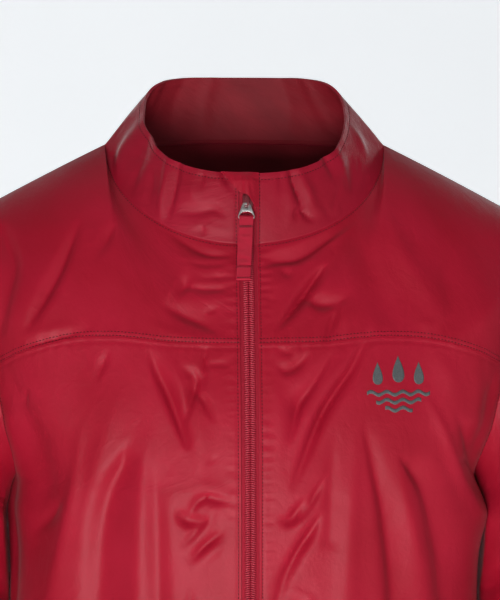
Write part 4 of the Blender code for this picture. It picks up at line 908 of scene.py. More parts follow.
def back_whole():
    """The back with its folds; columns run from -X to +X."""
    shares = spaced(BACK_LENGTH, 3.3, False, True)
    lower_heights = HEM_HEIGHT + spaced(BACK_LOWER, 3.7, True, False) * BACK_LOWER
    rises = spaced(BACK_RISE, 3.3, False, False)
    upper_shares = spaced(BACK_UPPER, 3.1, False, True)
    half, _ = torso_half(False, shares, lower_heights, rises, upper_shares)
    grid = np.concatenate((half[:, ::-1] * np.array((-1.0, 1.0, 1.0)), half[:, 1:]), axis=1)
    normals = grid_normals(grid, -1.0)
    x, y, z = grid[..., 0], grid[..., 1], grid[..., 2]
    heights = fold_heights(x, z, BACK_FOLDS, *BACK_DEPTHS)
    strewn = strewn_folds(31, 70, (-170.0, -690.0), (170.0, -60.0), 80.0, 60.0, 6.0, 1.8)
    heights += fold_heights(x, z, strewn)
    heights += 0.9 * rumple(x, z, 52.0, 41) + 0.5 * rumple(x, z, 22.0, 43)
    heights += 0.6 * creased(x, z * 0.8, 30.0, 45)
    heights *= ease(y, 5.0, 34.0)
    moved = grid + normals * heights[..., None]
    moved[..., 0] += side_fullness(grid) * np.sign(x)
    return moved, len(lower_heights) - 1


# ------------------------------------------------------------------ sleeves and collar

def armhole_edge(front, back, side, underarm_rows):
    """The armhole's front and back edges, each from the shoulder tip down to the underarm."""
    edge = -1 if side == "left" else 0
    return front[underarm_rows[0]:, edge][::-1], back[underarm_rows[1]:, edge][::-1]


def sleeve_whole(edges, side):
    """Rings from the armhole to the cuff; a ring starts at the outer side, goes to the front."""
    sign = 1.0 if side == "left" else -1.0
    count = SLEEVE_COLUMNS
    turns = np.arange(count) * 2 * math.pi / count
    down = np.where(turns <= math.pi, turns / math.pi, 2.0 - turns / math.pi)
    front_edge, back_edge = edges
    on_front = along_line(front_edge, down * lengths_along(front_edge)[-1])
    on_back = along_line(back_edge, down * lengths_along(back_edge)[-1])
    start = np.where((turns <= math.pi)[:, None], on_front, on_back)

    def ring(height):
        """The sleeve's ring at a height."""
        cx, cy, half_width, half_depth, tilt = table_at(SLEEVE, np.array([height]))[0]
        x = (cx + half_width * np.cos(turns)) * sign
        y = cy - half_depth * np.sin(turns)
        return np.stack((x, y, height + tilt * np.cos(turns)), axis=-1)

    end = ring(SLEEVE[-1][0])
    leaving = table_at(CAP_LEAVING, down)
    facing = np.where(turns <= math.pi, -1.0, 1.0)
    leaving = leaving * np.stack((np.full(count, sign), facing, np.ones(count)), axis=-1)
    reach = np.linalg.norm(end - start, axis=-1, keepdims=True)
    arrive = unit(np.array((0.16 * sign, 0.0, -1.0))) * reach
    rows = [hermite(start, unit(leaving) * reach, end, arrive, share)
            for share in spaced(SLEEVE_CAP, 4.0, True, False)[:-1]]
    lower_heights = SLEEVE[-1][0] - spaced(SLEEVE_LOWER, 4.0, False, True) * SLEEVE_LOWER
    rows += [ring(height) for height in lower_heights]
    grid = np.array(rows)
    normals = grid_normals(grid, sign, closed=True)
    degrees = np.degrees(turns)[None, :]
    z = grid[..., 2]
    heights = np.zeros(z.shape)
    for fold_turn, fold_z, half_turn, half_height, depth in SLEEVE_FOLDS:
        around = (degrees - fold_turn + 180.0) % 360.0 - 180.0
        heights += depth * np.exp(-(around / half_turn) ** 2 - ((z - fold_z) / half_height) ** 2)
    # the slanting creases are laid out on the sleeve opened flat, a degree taken as 1 mm
    opened = (degrees + 180.0) % 360.0 - 180.0 + z * 0.0
    seed = 61 if side == "left" else 71
    strewn = strewn_folds(seed, 90, (-180.0, -680.0), (180.0, -150.0), 8.0, 46.0, 4.5, 1.5)
    for shift in (-360.0, 0.0, 360.0):
        heights += fold_heights(opened + shift, z, SLEEVE_CREASES + strewn, *SLEEVE_DEPTHS)
    heights += 0.8 * rumple(grid[..., 1] + grid[..., 0] * 0.6, z, 30.0, seed + 2)
    heights += 0.6 * creased(grid[..., 1] + grid[..., 0] * 0.6, z, 22.0, seed + 4)
    # at the armhole: the folds ease out, and the seam has puckers and a low ridge
    row_run = lengths_along(grid[:, count // 4])
    heights *= ease(row_run, 0.0, 22.0)[:, None] * (0.25 + 0.75 * ease(z, -688.0, -664.0))
    seam_run = lengths_along(np.concatenate((start, start[:1])))[:-1][None, :]
    near_seam = np.exp(-(row_run / 6.0) ** 2)[:, None] * ease(row_run, 0.0, 1.5)[:, None]
    heights += near_seam * along_seam(seam_run, seed + 6, 7.5, 0.35)
    heights += 0.5 * np.exp(-(row_run / 2.2) ** 2)[:, None] * ease(row_run, 0.0, 0.8)[:, None]
    moved = grid + normals * heights[..., None]
    return leaning_in(moved, turns, sign)


def leaning_in(sleeve, turns, sign):
    """The sleeve with its inner side laid against the body's side, and flattened there."""
    z = sleeve[..., 2]
    inner = ((1.0 - np.cos(turns)) / 2)[None, :] ** 2
    push = SLEEVE_LEAN * inner * ease(-z, 252.0, 278.0) * (1.0 - ease(-z, 370.0, 520.0))
    out = sleeve[..., 0] * sign
    body = table_at(TORSO, z)[..., 0] + SIDE_FULLNESS * ease(-z, 246.0, 272.0)
    side = body + SLEEVE_CLEARANCE
    room = np.maximum(out - side, 0.0)
    kept_out = np.maximum(side - out, 0.0) * ease(-z, 254.0, 280.0)
    moved = sleeve.copy()
    moved[..., 0] = (out - np.minimum(push, room) + kept_out) * sign
    return moved


def collar_top_line():
    """The collar's top edge on the side of +X, from the zip edge to the middle of the back."""
    turn = np.linspace(0.0, math.pi, 769)
    power = 2 / COLLAR_TOP_POWER
    x = COLLAR_TOP_HALF_WIDTH * np.abs(np.sin(turn)) ** power
    depth = np.where(turn < math.pi / 2, COLLAR_TOP_FRONT_DEPTH, COLLAR_TOP_BACK_DEPTH)
    y = -np.copysign(depth * np.abs(np.cos(turn)) ** power, np.cos(turn))
    points = np.stack((x, y, table_at(COLLAR_TOP_EDGE, y)[..., 0]), axis=-1)
    points = points[(x >= ZIP_EDGE) | (turn > 1.0)]
    points[0, 0] = ZIP_EDGE
    return points


def collar_whole(neckline):
    """Rows from the neckline up; columns from the left zip edge round to the right one."""
    run = lengths_along(neckline)
    half = run[np.argmax(neckline[:, 1])]
    left = spaced(half, 2.1, True, False) * half
    right = run[-1] - (spaced(run[-1] - half, 2.1, True, False) * (run[-1] - half))[::-1]
    places = np.concatenate((left, right[1:]))
    base = along_line(neckline, places)
    curve = collar_top_line()
    share = np.where(places <= half, places / half, (run[-1] - places) / (run[-1] - half))
    share = share + COLLAR_LEAN_BACK * np.sin(math.pi * share)
    top = along_line(curve, share * lengths_along(curve)[-1])
    top[places > half, 0] *= -1.0
    rises = spaced(COLLAR_HEIGHT, 2.0, True, True)[:, None, None]
    grid = base[None] + (top - base)[None] * rises
    outward = unit(grid * np.array((1.0, 1.0, 0.0)))
    grid = grid + outward * COLLAR_BOW * 4 * rises * (1 - rises)
    x, y = grid[..., 0], grid[..., 1]
    across, down = seen(grid)
    front = ease(-y, 2.0, 18.0)
    heights = fold_heights(across, down, SEEN_COLLAR_FOLDS, *COLLAR_DEPTHS) * front
    rise = np.linalg.norm(grid - grid[:1], axis=-1)
    middle_run = places[None, :] - half + rise * 0.0
    heights += fold_heights(middle_run, rise, COLLAR_BACK_FOLDS) * (1.0 - front)
    strewn = strewn_folds(83, 26, (-235.0, 4.0), (235.0, 60.0), 88.0, 30.0, 2.6, 0.7)
    heights += fold_heights(middle_run, rise, strewn)
    heights += 0.35 * rumple(middle_run, rise, 24.0, 85) + 0.3 * creased(middle_run, rise, 18.0, 87)
    # the folds ease out at the neck seam and the zip; a groove lies under each row of stitches
    heights *= ease(rise, 0.0, 5.0) * (ease(np.abs(x), 9.0, 18.0) * 0.85 + 0.15)
    top_room = np.linalg.norm(grid - grid[-1:], axis=-1)
    heights -= 0.35 * np.exp(-((top_room - 5.0) / 0.9) ** 2)
    heights += 0.3 * np.exp(-(rise / 3.0) ** 2) * ease(rise, 0.0, 0.8)
    edge = np.abs(x) - ZIP_EDGE
    heights -= 0.3 * np.exp(-((edge - 1.9) / 0.8) ** 2) * (y < 0.0)
    grid = grid + outward * heights[..., None]
    turned_under = grid[:1] - outward[:1] * 1.1 - np.array((0.0, 0.0, 2.4))
    return np.concatenate((turned_under, grid))


def neck_line(front_left, back, front_right):
    """The neckline from the left zip edge, round the back, to the right zip edge."""
    left, behind, right = front_left[-1], back[-1], front_right[-1]
    left = left[left[:, 0] <= NECK_HALF_WIDTH + 0.5]
    right = right[right[:, 0] >= -NECK_HALF_WIDTH - 0.5]
    behind = behind[np.abs(behind[:, 0]) <= NECK_HALF_WIDTH - 1.5][::-1]
    return np.concatenate((left, behind, right))


# ------------------------------------------------------------------ meshes

def grid_object(name, grid, sign, closed=False):
    """A sheet of quads from a grid in mm, its faces outwards and its UV map in metres."""
    rows, columns = grid.shape[:2]
    index = np.arange(rows * columns).reshape(rows, columns)
    if closed:
        index = np.concatenate((index, index[:, :1]), axis=1)
        flat = np.concatenate((grid, grid[:, :1]), axis=1)
    else:
        flat = grid
    corners = (index[:-1, :-1], index[:-1, 1:], index[1:, 1:], index[1:, :-1])
    if sign < 0:
        corners = corners[::-1]
    quads = np.stack(corners, axis=-1).reshape(-1, 4)
    across, along = cloth_places(flat)
    places = np.stack((across, along), axis=-1) * MM
    uv_corners = (places[:-1, :-1], places[:-1, 1:], places[1:, 1:], places[1:, :-1])
    if sign < 0:
        uv_corners = uv_corners[::-1]
    mesh = bpy.data.meshes.new(name)
    mesh.from_pydata((grid.reshape(-1, 3) * MM).tolist(), [], quads.tolist())
    layer = mesh.uv_layers.new(name="cloth")
    layer.data.foreach_set("uv", np.stack(uv_corners, axis=-2).reshape(-1).astype(np.float32))
    mesh.shade_smooth()
    thing = bpy.data.objects.new(name, mesh)
    bpy.context.scene.collection.objects.link(thing)
    return thing


def select_only(thing):
    """Makes one piece the selected and active one."""
    bpy.ops.object.select_all(action="DESELECT")
    thing.select_set(True)
    bpy.context.view_layer.objects.active = thing


def add_wall(thing, thickness, offset):
    """A wall of the given thickness: offset -1 puts it inside the faces, 0 on both sides."""
    wall = thing.modifiers.new("wall", "SOLIDIFY")
    wall.thickness = thickness
    wall.offset = offset
    return wall


def add_round_edge(thing, width, segments, angle=30.0):
    """Rounds the edges that turn by more than an angle in degrees."""
    edge = thing.modifiers.new("edge", "BEVEL")
    edge.width = width
    edge.segments = segments
    edge.limit_method = "ANGLE"
    edge.angle_limit = math.radians(angle)


def apply_modifiers(*names):
    """Applies the active piece's modifiers by name."""
    for name in names:
        bpy.ops.object.modifier_apply(modifier=name)


def give_wall(thing, thickness, materials):
    """Makes a sheet a thin shell, thickened inwards, with its lining inside."""
    select_only(thing)
    for material in materials:
        thing.data.materials.append(material)
    wall = add_wall(thing, thickness * MM, -1.0)
    wall.use_even_offset = False
    wall.material_offset = len(materials) - 1
    apply_modifiers("wall")
    thing.data.set_sharp_from_angle(angle=math.radians(SHARP_CLOTH))


def cloth_piece(name, grid, sign, thickness, materials, node, closed=False):
    """A finished cloth piece that stands for its node."""
    thing = grid_object(name, grid, sign, closed)
    give_wall(thing, thickness, materials)
    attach(thing, "jacket")
    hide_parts(node)
    return thing


def stood_back(grid, edges):
    """The grid with the named edges drawn back from their seams."""
    moved = grid.copy()
    rows = {"bottom": (0, 1), "top": (-1, -2)}
    columns = {"start": (0, 1), "end": (-1, -2)}
    for edge in edges:
        if edge in rows:
            row, inner = rows[edge]
            moved[row] += unit(grid[inner] - grid[row]) * SEAM_GAP
        else:
            column, inner = columns[edge]
            moved[:, column] += unit(grid[:, inner] - grid[:, column]) * SEAM_GAP
    return moved


def in_fixed_order(mesh):
    """Corners and faces of a small mesh in an order that is the same at each run."""
    count = len(mesh.vertices)
    corners = np.zeros(count * 3)
    mesh.vertices.foreach_get("co", corners)
    corners = corners.reshape(-1, 3)
    order = np.lexsort(np.round(corners, 4).T)
    place = np.argsort(order).tolist()
    faces = []
    for face in mesh.polygons:
        face = [place[corner] for corner in face.vertices]
        first = face.index(min(face))
        faces.append(face[first:] + face[:first])
    return corners[order], sorted(faces)


def copies(name, pattern, centres, across, up, out, material):
    """One mesh of copies of a small pattern mesh, each turned to its own axes, in mm."""
    local, faces = in_fixed_order(pattern.data)
    count = len(local)
    axes = np.stack((across, up, out), axis=1)
    points = centres[:, None, :] + local[None] @ axes
    every = [[corner + count * number for corner in face]
             for number in range(len(centres)) for face in faces]
    mesh = bpy.data.meshes.new(name)
    mesh.from_pydata((points.reshape(-1, 3) * MM).tolist(), [], every)
    mesh.shade_smooth()
    mesh.materials.append(material)
    thing = bpy.data.objects.new(name, mesh)
    bpy.context.scene.collection.objects.link(thing)
    return thing


def thread_pattern():
    """One stitch of thread, a small lozenge, in mm along X."""
    bpy.ops.object.select_all(action="DESELECT")
    bpy.ops.mesh.primitive_uv_sphere_add(segments=6, ring_count=4, radius=0.5)
    stitch = bpy.context.object
    bpy.ops.object.mode_set(mode="EDIT")
    bpy.ops.transform.rotate(value=math.pi / 2, orient_axis="Y", center_override=(0, 0, 0))
    bpy.ops.transform.resize(value=(STITCH_LENGTH, STITCH_WIDTH, 0.34))
    bpy.ops.object.mode_set(mode="OBJECT")
    return stitch


def stitch_row(points, normals, pitch=STITCH_PITCH):
    """Centres and axes of the stitches of one row along a line on the cloth."""
    run = lengths_along(points)
    count = max(int(run[-1] / pitch), 1)
    places = (np.arange(count) + 0.5) * run[-1] / count
    centres = along_line(points, places)
    along = unit(along_line(points, places + 0.6) - along_line(points, places - 0.6))
    out = np.stack([np.interp(places, run, normals[:, axis]) for axis in range(3)], axis=-1)
    out = unit(out - along * np.sum(out * along, axis=-1, keepdims=True))
    side = np.cross(out, along)
    return centres + out * 0.06, along, side, out


def row_line(grid, normals, row, offset):
    """Points and normals of a grid's line, offset mm away from one of its rows."""
    step = 1 if offset > 0 else -1
    stop = grid.shape[0] if step > 0 else -1
    rows = list(range(row % grid.shape[0], stop, step))[:14]
    run = np.cumsum(np.linalg.norm(np.diff(grid[rows], axis=0), axis=2), axis=0)
    run = np.concatenate((np.zeros((1, grid.shape[1])), run))
    points, outs = np.zeros((grid.shape[1], 3)), np.zeros((grid.shape[1], 3))
    for column in range(grid.shape[1]):
        for axis in range(3):
            points[column, axis] = np.interp(abs(offset), run[:, column], grid[rows, column, axis])
            outs[column, axis] = np.interp(abs(offset), run[:, column], normals[rows, column, axis])
    return points, outs


def column_line(grid, normals, column, offset):
    """Points and normals of a grid's line, offset mm away from one of its columns."""
    return row_line(grid.swapaxes(0, 1), normals.swapaxes(0, 1), column, offset)


# ------------------------------------------------------------------ zip and puller

def zip_line():
    """The zip's middle line, from the hem to the collar's top, and its outward directions."""
    heights = np.arange(HEM_HEIGHT, UNDERARM_HEIGHT + 1.0, 4.0)
    steps = np.linspace(0.0, 1.0, 31)
    grid = torso_half(True, np.array([0.0]), heights, steps, steps)[0][:, 0]
    rises = np.linspace(0.0, 1.0, 16)[1:, None]
    collar = grid[-1] + (collar_top_line()[0] - grid[-1]) * rises
    outward = unit(collar * np.array((1.0, 1.0, 0.0)))
    collar = collar + outward * COLLAR_BOW * 4 * rises * (1 - rises)
    middle = np.concatenate((grid, collar)) * np.array((0.0, 1.0, 1.0))
    return middle, unit(np.cross(np.array((1.0, 0.0, 0.0)), np.gradient(middle, axis=0)))


def zip_place(line, heights):
    """Points on the cloth's face over the zip's middle at heights, and outward directions."""
    middle, outward = line
    centres = [np.interp(heights, middle[:, 2], middle[:, axis]) for axis in range(3)]
    outs = [np.interp(heights, middle[:, 2], outward[:, axis]) for axis in range(3)]
    return np.stack(centres, axis=-1), unit(np.stack(outs, axis=-1))


def slider_place(line):
    """Frame of the slider: centre, then the axes across, up and outward as rows."""
    centre, out = zip_place(line, SLIDER_HEIGHT)
    across = np.array((1.0, 0.0, 0.0))
    return centre, np.array((across, unit(np.cross(out, across)), out))


def puller_place(line):
    """Frame of the hanging puller, with its pivot as the centre."""
    centre, axes = slider_place(line)
    low = BRIDGE_LENGTH / 2 - BRIDGE_THICKNESS - BAIL_WIRE / 2 - 0.3
    pivot = centre + np.array((PULLER_SHIFT, -low, SLIDER_FACE + BRIDGE_WINDOW / 2)) @ axes
    reach = BAIL_LENGTH + PULL_TAPE_LENGTH
    foot = zip_place(line, pivot[2] - reach)[0]
    forward = PULL_TAPE_THICKNESS / 2 + PULL_TAPE_CLEARANCE
    lean = math.atan2(pivot[1] - (foot[1] - forward), reach)
    up = np.array((0.0, math.sin(lean), math.cos(lean)))
    out = np.array((0.0, -math.cos(lean), -math.sin(lean)))
    return pivot, np.array(((1.0, 0.0, 0.0), up, out))


def set_in_place(thing, place):
    """Moves a mesh drawn in mm round zero, across, up and outward, to its place."""
    centre, axes = place
    count = len(thing.data.vertices)
    local = np.zeros(count * 3)
    thing.data.vertices.foreach_get("co", local)
    moved = (local.reshape(-1, 3) @ axes + centre) * MM
    thing.data.vertices.foreach_set("co", moved.reshape(-1).astype(np.float32))
    thing.data.update()


def edit_start():
    """Goes into edit mode with all selected."""
    bpy.ops.object.mode_set(mode="EDIT")
    bpy.ops.mesh.select_all(action="SELECT")


def edit_end():
    """Leaves edit mode."""
    bpy.ops.object.mode_set(mode="OBJECT")


def apply_place():
    """Puts the selected piece's place, turn and scale into its mesh."""
    bpy.ops.object.transform_apply(location=True, rotation=True, scale=True)


def block(size, centre, round_edge, taper=1.0):
    """A rounded block in mm, its lower end narrowed by taper."""
    bpy.ops.object.select_all(action="DESELECT")
    bpy.ops.mesh.primitive_cube_add(size=1.0, location=centre)
    thing = bpy.context.object
    edit_start()
    bpy.ops.transform.resize(value=size, center_override=centre)
    bpy.ops.mesh.subdivide(number_cuts=1)
    bpy.ops.mesh.select_all(action="DESELECT")
    edit_end()
    for vertex in thing.data.vertices:
        vertex.select = vertex.co.y < -0.01
    bpy.ops.object.mode_set(mode="EDIT")
    bpy.ops.transform.resize(value=(taper, 1.0, 1.0), center_override=centre)
    edit_end()
    apply_place()
    add_round_edge(thing, round_edge, 3)
    apply_modifiers("edge")
    return thing


def joined(name, things, material):
    """Several meshes made one, with their material and smooth shading."""
    bpy.ops.object.select_all(action="DESELECT")
    for thing in things:
        thing.select_set(True)
    bpy.context.view_layer.objects.active = things[0]
    if len(things) > 1:
        bpy.ops.object.join()
    thing = bpy.context.object
    thing.name = name
    thing.data.name = name
    thing.data.materials.clear()
    thing.data.materials.append(material)
    bpy.ops.object.shade_smooth_by_angle(angle=math.radians(SHARP_METAL))
    return thing


def make_slider(line, material):
    """The slider: a tapered body with raised rims, and the bridge over the ring."""
    depth = SLIDER_FACE + ZIP_CLOTH_DEPTH
    body = block((SLIDER_WIDTH, SLIDER_LENGTH, depth), (0.0, 0.0, SLIDER_FACE - depth / 2),
                 0.55, 0.84)
    top = SLIDER_FACE + BRIDGE_WINDOW + BRIDGE_THICKNESS / 2
    strap = block((1.7, BRIDGE_LENGTH, BRIDGE_THICKNESS), (0.0, 0.0, top), 0.35)
    reach = BRIDGE_LENGTH / 2 - BRIDGE_THICKNESS / 2
    legs = [block((1.7, BRIDGE_THICKNESS, BRIDGE_WINDOW + 1.4), (0.0, up, SLIDER_FACE + 0.9), 0.3)
            for up in (reach, -reach)]
    rims = [block((0.9, SLIDER_LENGTH - 2.2, 0.7), (side, 0.2, SLIDER_FACE + 0.1), 0.25)
            for side in (-2.9, 2.9)]
    thing = joined("slider", [body, strap] + legs + rims, material)
    set_in_place(thing, slider_place(line))
    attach(thing, "jacket")
    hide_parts("zip_slider")


# the puller's plate, in mm across and up from its pivot: outline and window of its head,
# then of its foot, as many points in each
PLATE_HEAD = (
    ((-1.3, 0.72), (1.3, 0.72), (2.5, 0.1), (3.3, -1.6), (4.2, -4.4), (1.5, -4.4), (-1.5, -4.4),
     (-4.2, -4.4), (-3.3, -1.6), (-2.5, 0.1)),
    ((-0.8, -0.62), (0.8, -0.62), (1.3, -0.8), (1.5, -1.6), (1.4, -3.0), (0.7, -3.3), (-0.7, -3.3),
     (-1.4, -3.0), (-1.5, -1.6), (-1.3, -0.8)),
)
PLATE_FOOT = (
    ((-1.5, -4.4), (1.5, -4.4), (4.2, -4.4), (5.4, -7.4), (6.1, -9.8), (5.5, -11.1), (2.0, -11.2),
     (-2.0, -11.2), (-5.5, -11.1), (-6.1, -9.8), (-5.4, -7.4), (-4.2, -4.4)),
    ((-1.2, -5.9), (1.2, -5.9), (3.2, -6.6), (4.4, -7.9), (5.3, -9.4), (5.2, -9.85), (2.0, -9.9),
     (-2.0, -9.9), (-5.2, -9.85), (-5.3, -9.4), (-4.4, -7.9), (-3.2, -6.6)),
)


def plate_ring(outline, window):
    """A flat ring of faces between an outline and a window with as many points."""
    count = len(outline)
    bpy.ops.object.select_all(action="DESELECT")
    bpy.ops.mesh.primitive_circle_add(vertices=count, radius=1.0)
    thing = bpy.context.object
    edit_start()
    bpy.ops.mesh.extrude_edges_move()
    edit_end()
    for number, point in enumerate(outline + window):
        thing.data.vertices[number].co = (*point, 0.0)
    return thing


def make_puller_plate(place, material):
    """The stamped plate that hangs in the slider's bridge and holds the tape."""
    rings = [plate_ring(outline, window) for outline, window in (PLATE_HEAD, PLATE_FOOT)]
    thing = joined("puller_plate", rings, material)
    edit_start()
    bpy.ops.mesh.remove_doubles(threshold=0.01)
    bpy.ops.mesh.normals_make_consistent(inside=False)
    edit_end()
    add_wall(thing, BAIL_WIRE - 0.1, 0.0)
    add_round_edge(thing, 0.3, 3)
    apply_modifiers("wall", "edge")
    bpy.ops.object.shade_smooth_by_angle(angle=math.radians(SHARP_METAL))
    set_in_place(thing, place)
    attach(thing, "puller")
    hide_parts("zip_bail")


def make_pull_tape(place, material):
    """A ribbon that goes round the plate's foot and comes back over its own end."""
    # the ribbon's path from its end: out from the puller's middle, up from the plate's foot
    ring = 0.95 + PULL_TAPE_PLY / 2
    turns = np.linspace(math.pi, 0.0, 13)
    path = [(1.45, up) for up in np.linspace(-35.2, -44.6, 7)]
    path += [(0.475 + 0.975 * math.cos(turn), -44.9 - 0.975 * math.sin(turn))
             for turn in np.linspace(0.0, math.pi, 9)]
    path += [(-0.5, up) for up in np.linspace(-44.0, -6.0, 22)]
    path += [(-0.85, -3.5)]
    path += [(ring * math.cos(turn), ring * math.sin(turn)) for turn in turns]
    path += [(0.85, -3.5)]
    path += [(0.47, up) for up in np.linspace(-6.0, -44.2, 50)]
    path = np.array(path)
    across = np.linspace(-PULL_TAPE_WIDTH / 2, PULL_TAPE_WIDTH / 2, 11)
    grid = np.zeros((len(path), len(across), 3))
    drift = PULL_TAPE_DRIFT * np.minimum(path[:, 1], 0.0) / -PULL_TAPE_LENGTH
    grid[..., 0] = across[None, :] + drift[:, None]
    grid[..., 1] = path[:, 1:] - BAIL_LENGTH
    grid[..., 2] = path[:, :1] - 0.25 * (across[None, :] / 5.1) ** 2 * (path[:, 1:] < -8.0)
    wrinkled = ease(-path[:, 1:], 8.0, 14.0) * (1.0 - ease(-path[:, 1:], 33.0, 36.0))
    grid[..., 2] += 0.8 * wrinkled * rumple(across[None, :] * 0.45, path[:, 1:], 3.2, 91)
    centre, axes = place
    thing = grid_object("puller_ribbon", grid @ axes + centre, 1.0)
    thing.data.materials.append(material)
    select_only(thing)
    add_wall(thing, PULL_TAPE_PLY * MM, 0.0)
    add_round_edge(thing, 0.16 * MM, 2, 60.0)
    apply_modifiers("wall", "edge")
    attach(thing, "puller")
    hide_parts("zip_pull_tape")


def make_tack(place, stitch, material):
    """The close crosswise stitches that hold the ribbon's two plies under the plate."""
    rows = []
    for up in (-5.4, -6.1, -6.8):
        x = np.linspace(-4.2, 4.2, 8) - 0.3
        local = np.stack((x, np.full(8, up - BAIL_LENGTH), np.full(8, 0.9)), axis=-1)
        rows.append(local @ place[1] + place[0])
    for up in (-36.0, -43.6):
        x = np.linspace(-4.3, 4.3, 6) - 2.1
        local = np.stack((x, np.full(6, up - BAIL_LENGTH), np.full(6, 1.9)), axis=-1)
        rows.append(local @ place[1] + place[0])
    centres = np.concatenate(rows)
    count = len(centres)
    across, up, out = (np.tile(axis, (count, 1)) for axis in place[1])
    thing = copies("puller_tack", stitch, centres, across, up, out, material)
    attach(thing, "puller")


def make_teeth(line, material):
    """The closed coil, a pair of slanting ribs repeated from the box up to the slider."""
    pair = []
    for side in (1.0, -1.0):
        bpy.ops.object.select_all(action="DESELECT")
        bpy.ops.mesh.primitive_uv_sphere_add(segments=6, ring_count=4, radius=0.5)
        edit_start()
        bpy.ops.transform.rotate(value=math.pi / 2, orient_axis="Y", center_override=(0, 0, 0))
        bpy.ops.transform.resize(value=(4.6, 1.25, 1.5), center_override=(0, 0, 0))
        bpy.ops.transform.rotate(value=side * 0.2, orient_axis="Z", center_override=(0, 0, 0))
        bpy.ops.transform.translate(value=(side * 1.95, 0.0, 0.0))
        edit_end()
        pair.append(bpy.context.object)
    rib = joined("rib_pair", pair, material)
    top = SLIDER_HEIGHT - SLIDER_LENGTH / 2 - 0.4
    count = int((top - ZIP_BOX_TOP) / TOOTH_PITCH)
    heights = ZIP_BOX_TOP + (np.arange(count) + 0.5) * (top - ZIP_BOX_TOP) / count
    centres, outs = zip_place(line, heights)
    across = np.tile(np.array((1.0, 0.0, 0.0)), (count, 1))
    up = np.cross(outs, across)
    thing = copies("zip_teeth", rib, centres - outs * 0.95, across, up, outs, material)
    bpy.data.objects.remove(rib)
    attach(thing, "jacket")
    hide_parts("zip_chain")


def make_flap(line, collar, material):
    """The flap over the top of the zip, with its curved edge and a soft crease."""
    rise = np.linalg.norm(collar - collar[:1], axis=-1)[:, 0]
    rise = rise / rise[-1]
    falls, shares = np.linspace(0.0, 1.0, 34), np.linspace(0.0, 1.0, 25)
    rows = []
    for fall in falls:
        width = GARAGE_RIGHT - table_at(GARAGE_EDGE, np.array([fall]))[0, 0]
        x = GARAGE_RIGHT - width * (1.0 - shares)
        height = 1.0 - fall * GARAGE_REACH
        row = np.array([[np.interp(height, rise, collar[:, column, axis]) for axis in range(3)]
                        for column in list(range(-18, 0)) + list(range(0, 8))])
        surface = np.stack([np.interp(x, row[:, 0], row[:, axis]) for axis in range(3)], axis=-1)
        out = zip_place(line, surface[:, 2])[1]
        deep = 0.9 * math.sin(math.pi * min(fall + 0.1, 1))
        crease = deep * np.exp(-((x - 0.5 - 3.2 * fall) / 1.5) ** 2)
        lift = table_at(GARAGE_LIFT, x)[:, 0] * ease(fall, -0.2, 0.3) - crease
        rows.append(surface + out * (GARAGE_OFF + lift)[:, None])
    grid = np.array(rows)[::-1]
    thing = grid_object("chin_flap", grid, 1.0)
    give_wall(thing, GARAGE_SHELL, [material])
    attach(thing, "jacket")
    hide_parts("zip_garage")


# ------------------------------------------------------------------ chest print

PRINT_CENTRE_X = 105.6
PRINT_CENTRE_Z = -174.4
PRINT_THICKNESS = 0.08
PRINT_FACE = 0.16           # its outer face, out from the cloth's


def print_patches():
    """Flat patches of the print in mm: three drops over three waved bars."""
    patches = []
    for x, z, tall in ((-15.0, 7.0, 8.0), (0.0, 10.0, 9.5), (15.0, 7.0, 8.0)):
        turns = np.linspace(math.pi - 0.06, 0.06, 17)[:, None]
        half = 0.66 * tall * np.sin(turns) * np.sin(turns / 2) ** 1.5
        across = x + half * np.linspace(-1.0, 1.0, 9)[None, :]
        patches.append((across, z + tall * np.cos(turns) + across * 0.0))
    for z, length in ((-7.0, 46.0), (-12.6, 33.0), (-18.2, 20.0)):
        across = np.linspace(-length / 2, length / 2, int(length))[None, :] + np.zeros((4, 1))
        rise = np.linspace(-1.3, 1.3, 4)[:, None]
        patches.append((across, z + rise + 1.2 * np.sin(across * 2 * math.pi / 11.5)))
    return patches


def make_print(front, material):
    """The print, laid on the front's outer face."""
    corners = [vertex.co.copy() for vertex in front.data.vertices]
    faces = [list(face.vertices) for face in front.data.polygons]
    surface = BVHTree.FromPolygons(corners, faces)
    parts = []
    for number, (across, up) in enumerate(print_patches()):
        grid = np.zeros((*across.shape, 3))
        for row in range(across.shape[0]):
            for column in range(across.shape[1]):
                x = (PRINT_CENTRE_X + across[row, column]) * MM
                z = (PRINT_CENTRE_Z + up[row, column]) * MM
                hit, normal, _, _ = surface.ray_cast(Vector((x, -0.5, z)), Vector((0.0, 1.0, 0.0)))
                grid[row, column] = np.array(hit + normal * PRINT_FACE * MM) / MM
        parts.append(grid_object("print_part_" + str(number), grid, 1.0))
    thing = joined("chest_print", parts, material)
    add_wall(thing, PRINT_THICKNESS * MM, -1.0)
    apply_modifiers("wall")
    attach(thing, "jacket")


# ------------------------------------------------------------------ materials

def new_material(name, colour, roughness):
    """A material with its node tree and its shader."""
    material = bpy.data.materials.new(name)
    material.use_nodes = True
    shader = material.node_tree.nodes["Principled BSDF"]
    shader.inputs["Base Color"].default_value = (*colour, 1.0)
    shader.inputs["Roughness"].default_value = roughness
    return material, material.node_tree, shader


def pattern(tree, kind, place, stretch, **settings):
    """The value of a noise or wave pattern on the Object or UV coordinates."""
    source = tree.nodes.new("ShaderNodeTexCoord")
    mapping = tree.nodes.new("ShaderNodeMapping")
    mapping.inputs["Scale"].default_value = stretch
    texture = tree.nodes.new(kind)
    for name, value in settings.items():
        texture.inputs[name].default_value = value
    tree.links.new(source.outputs[place], mapping.inputs["Vector"])
    tree.links.new(mapping.outputs["Vector"], texture.inputs["Vector"])
    return texture.outputs["Fac"]


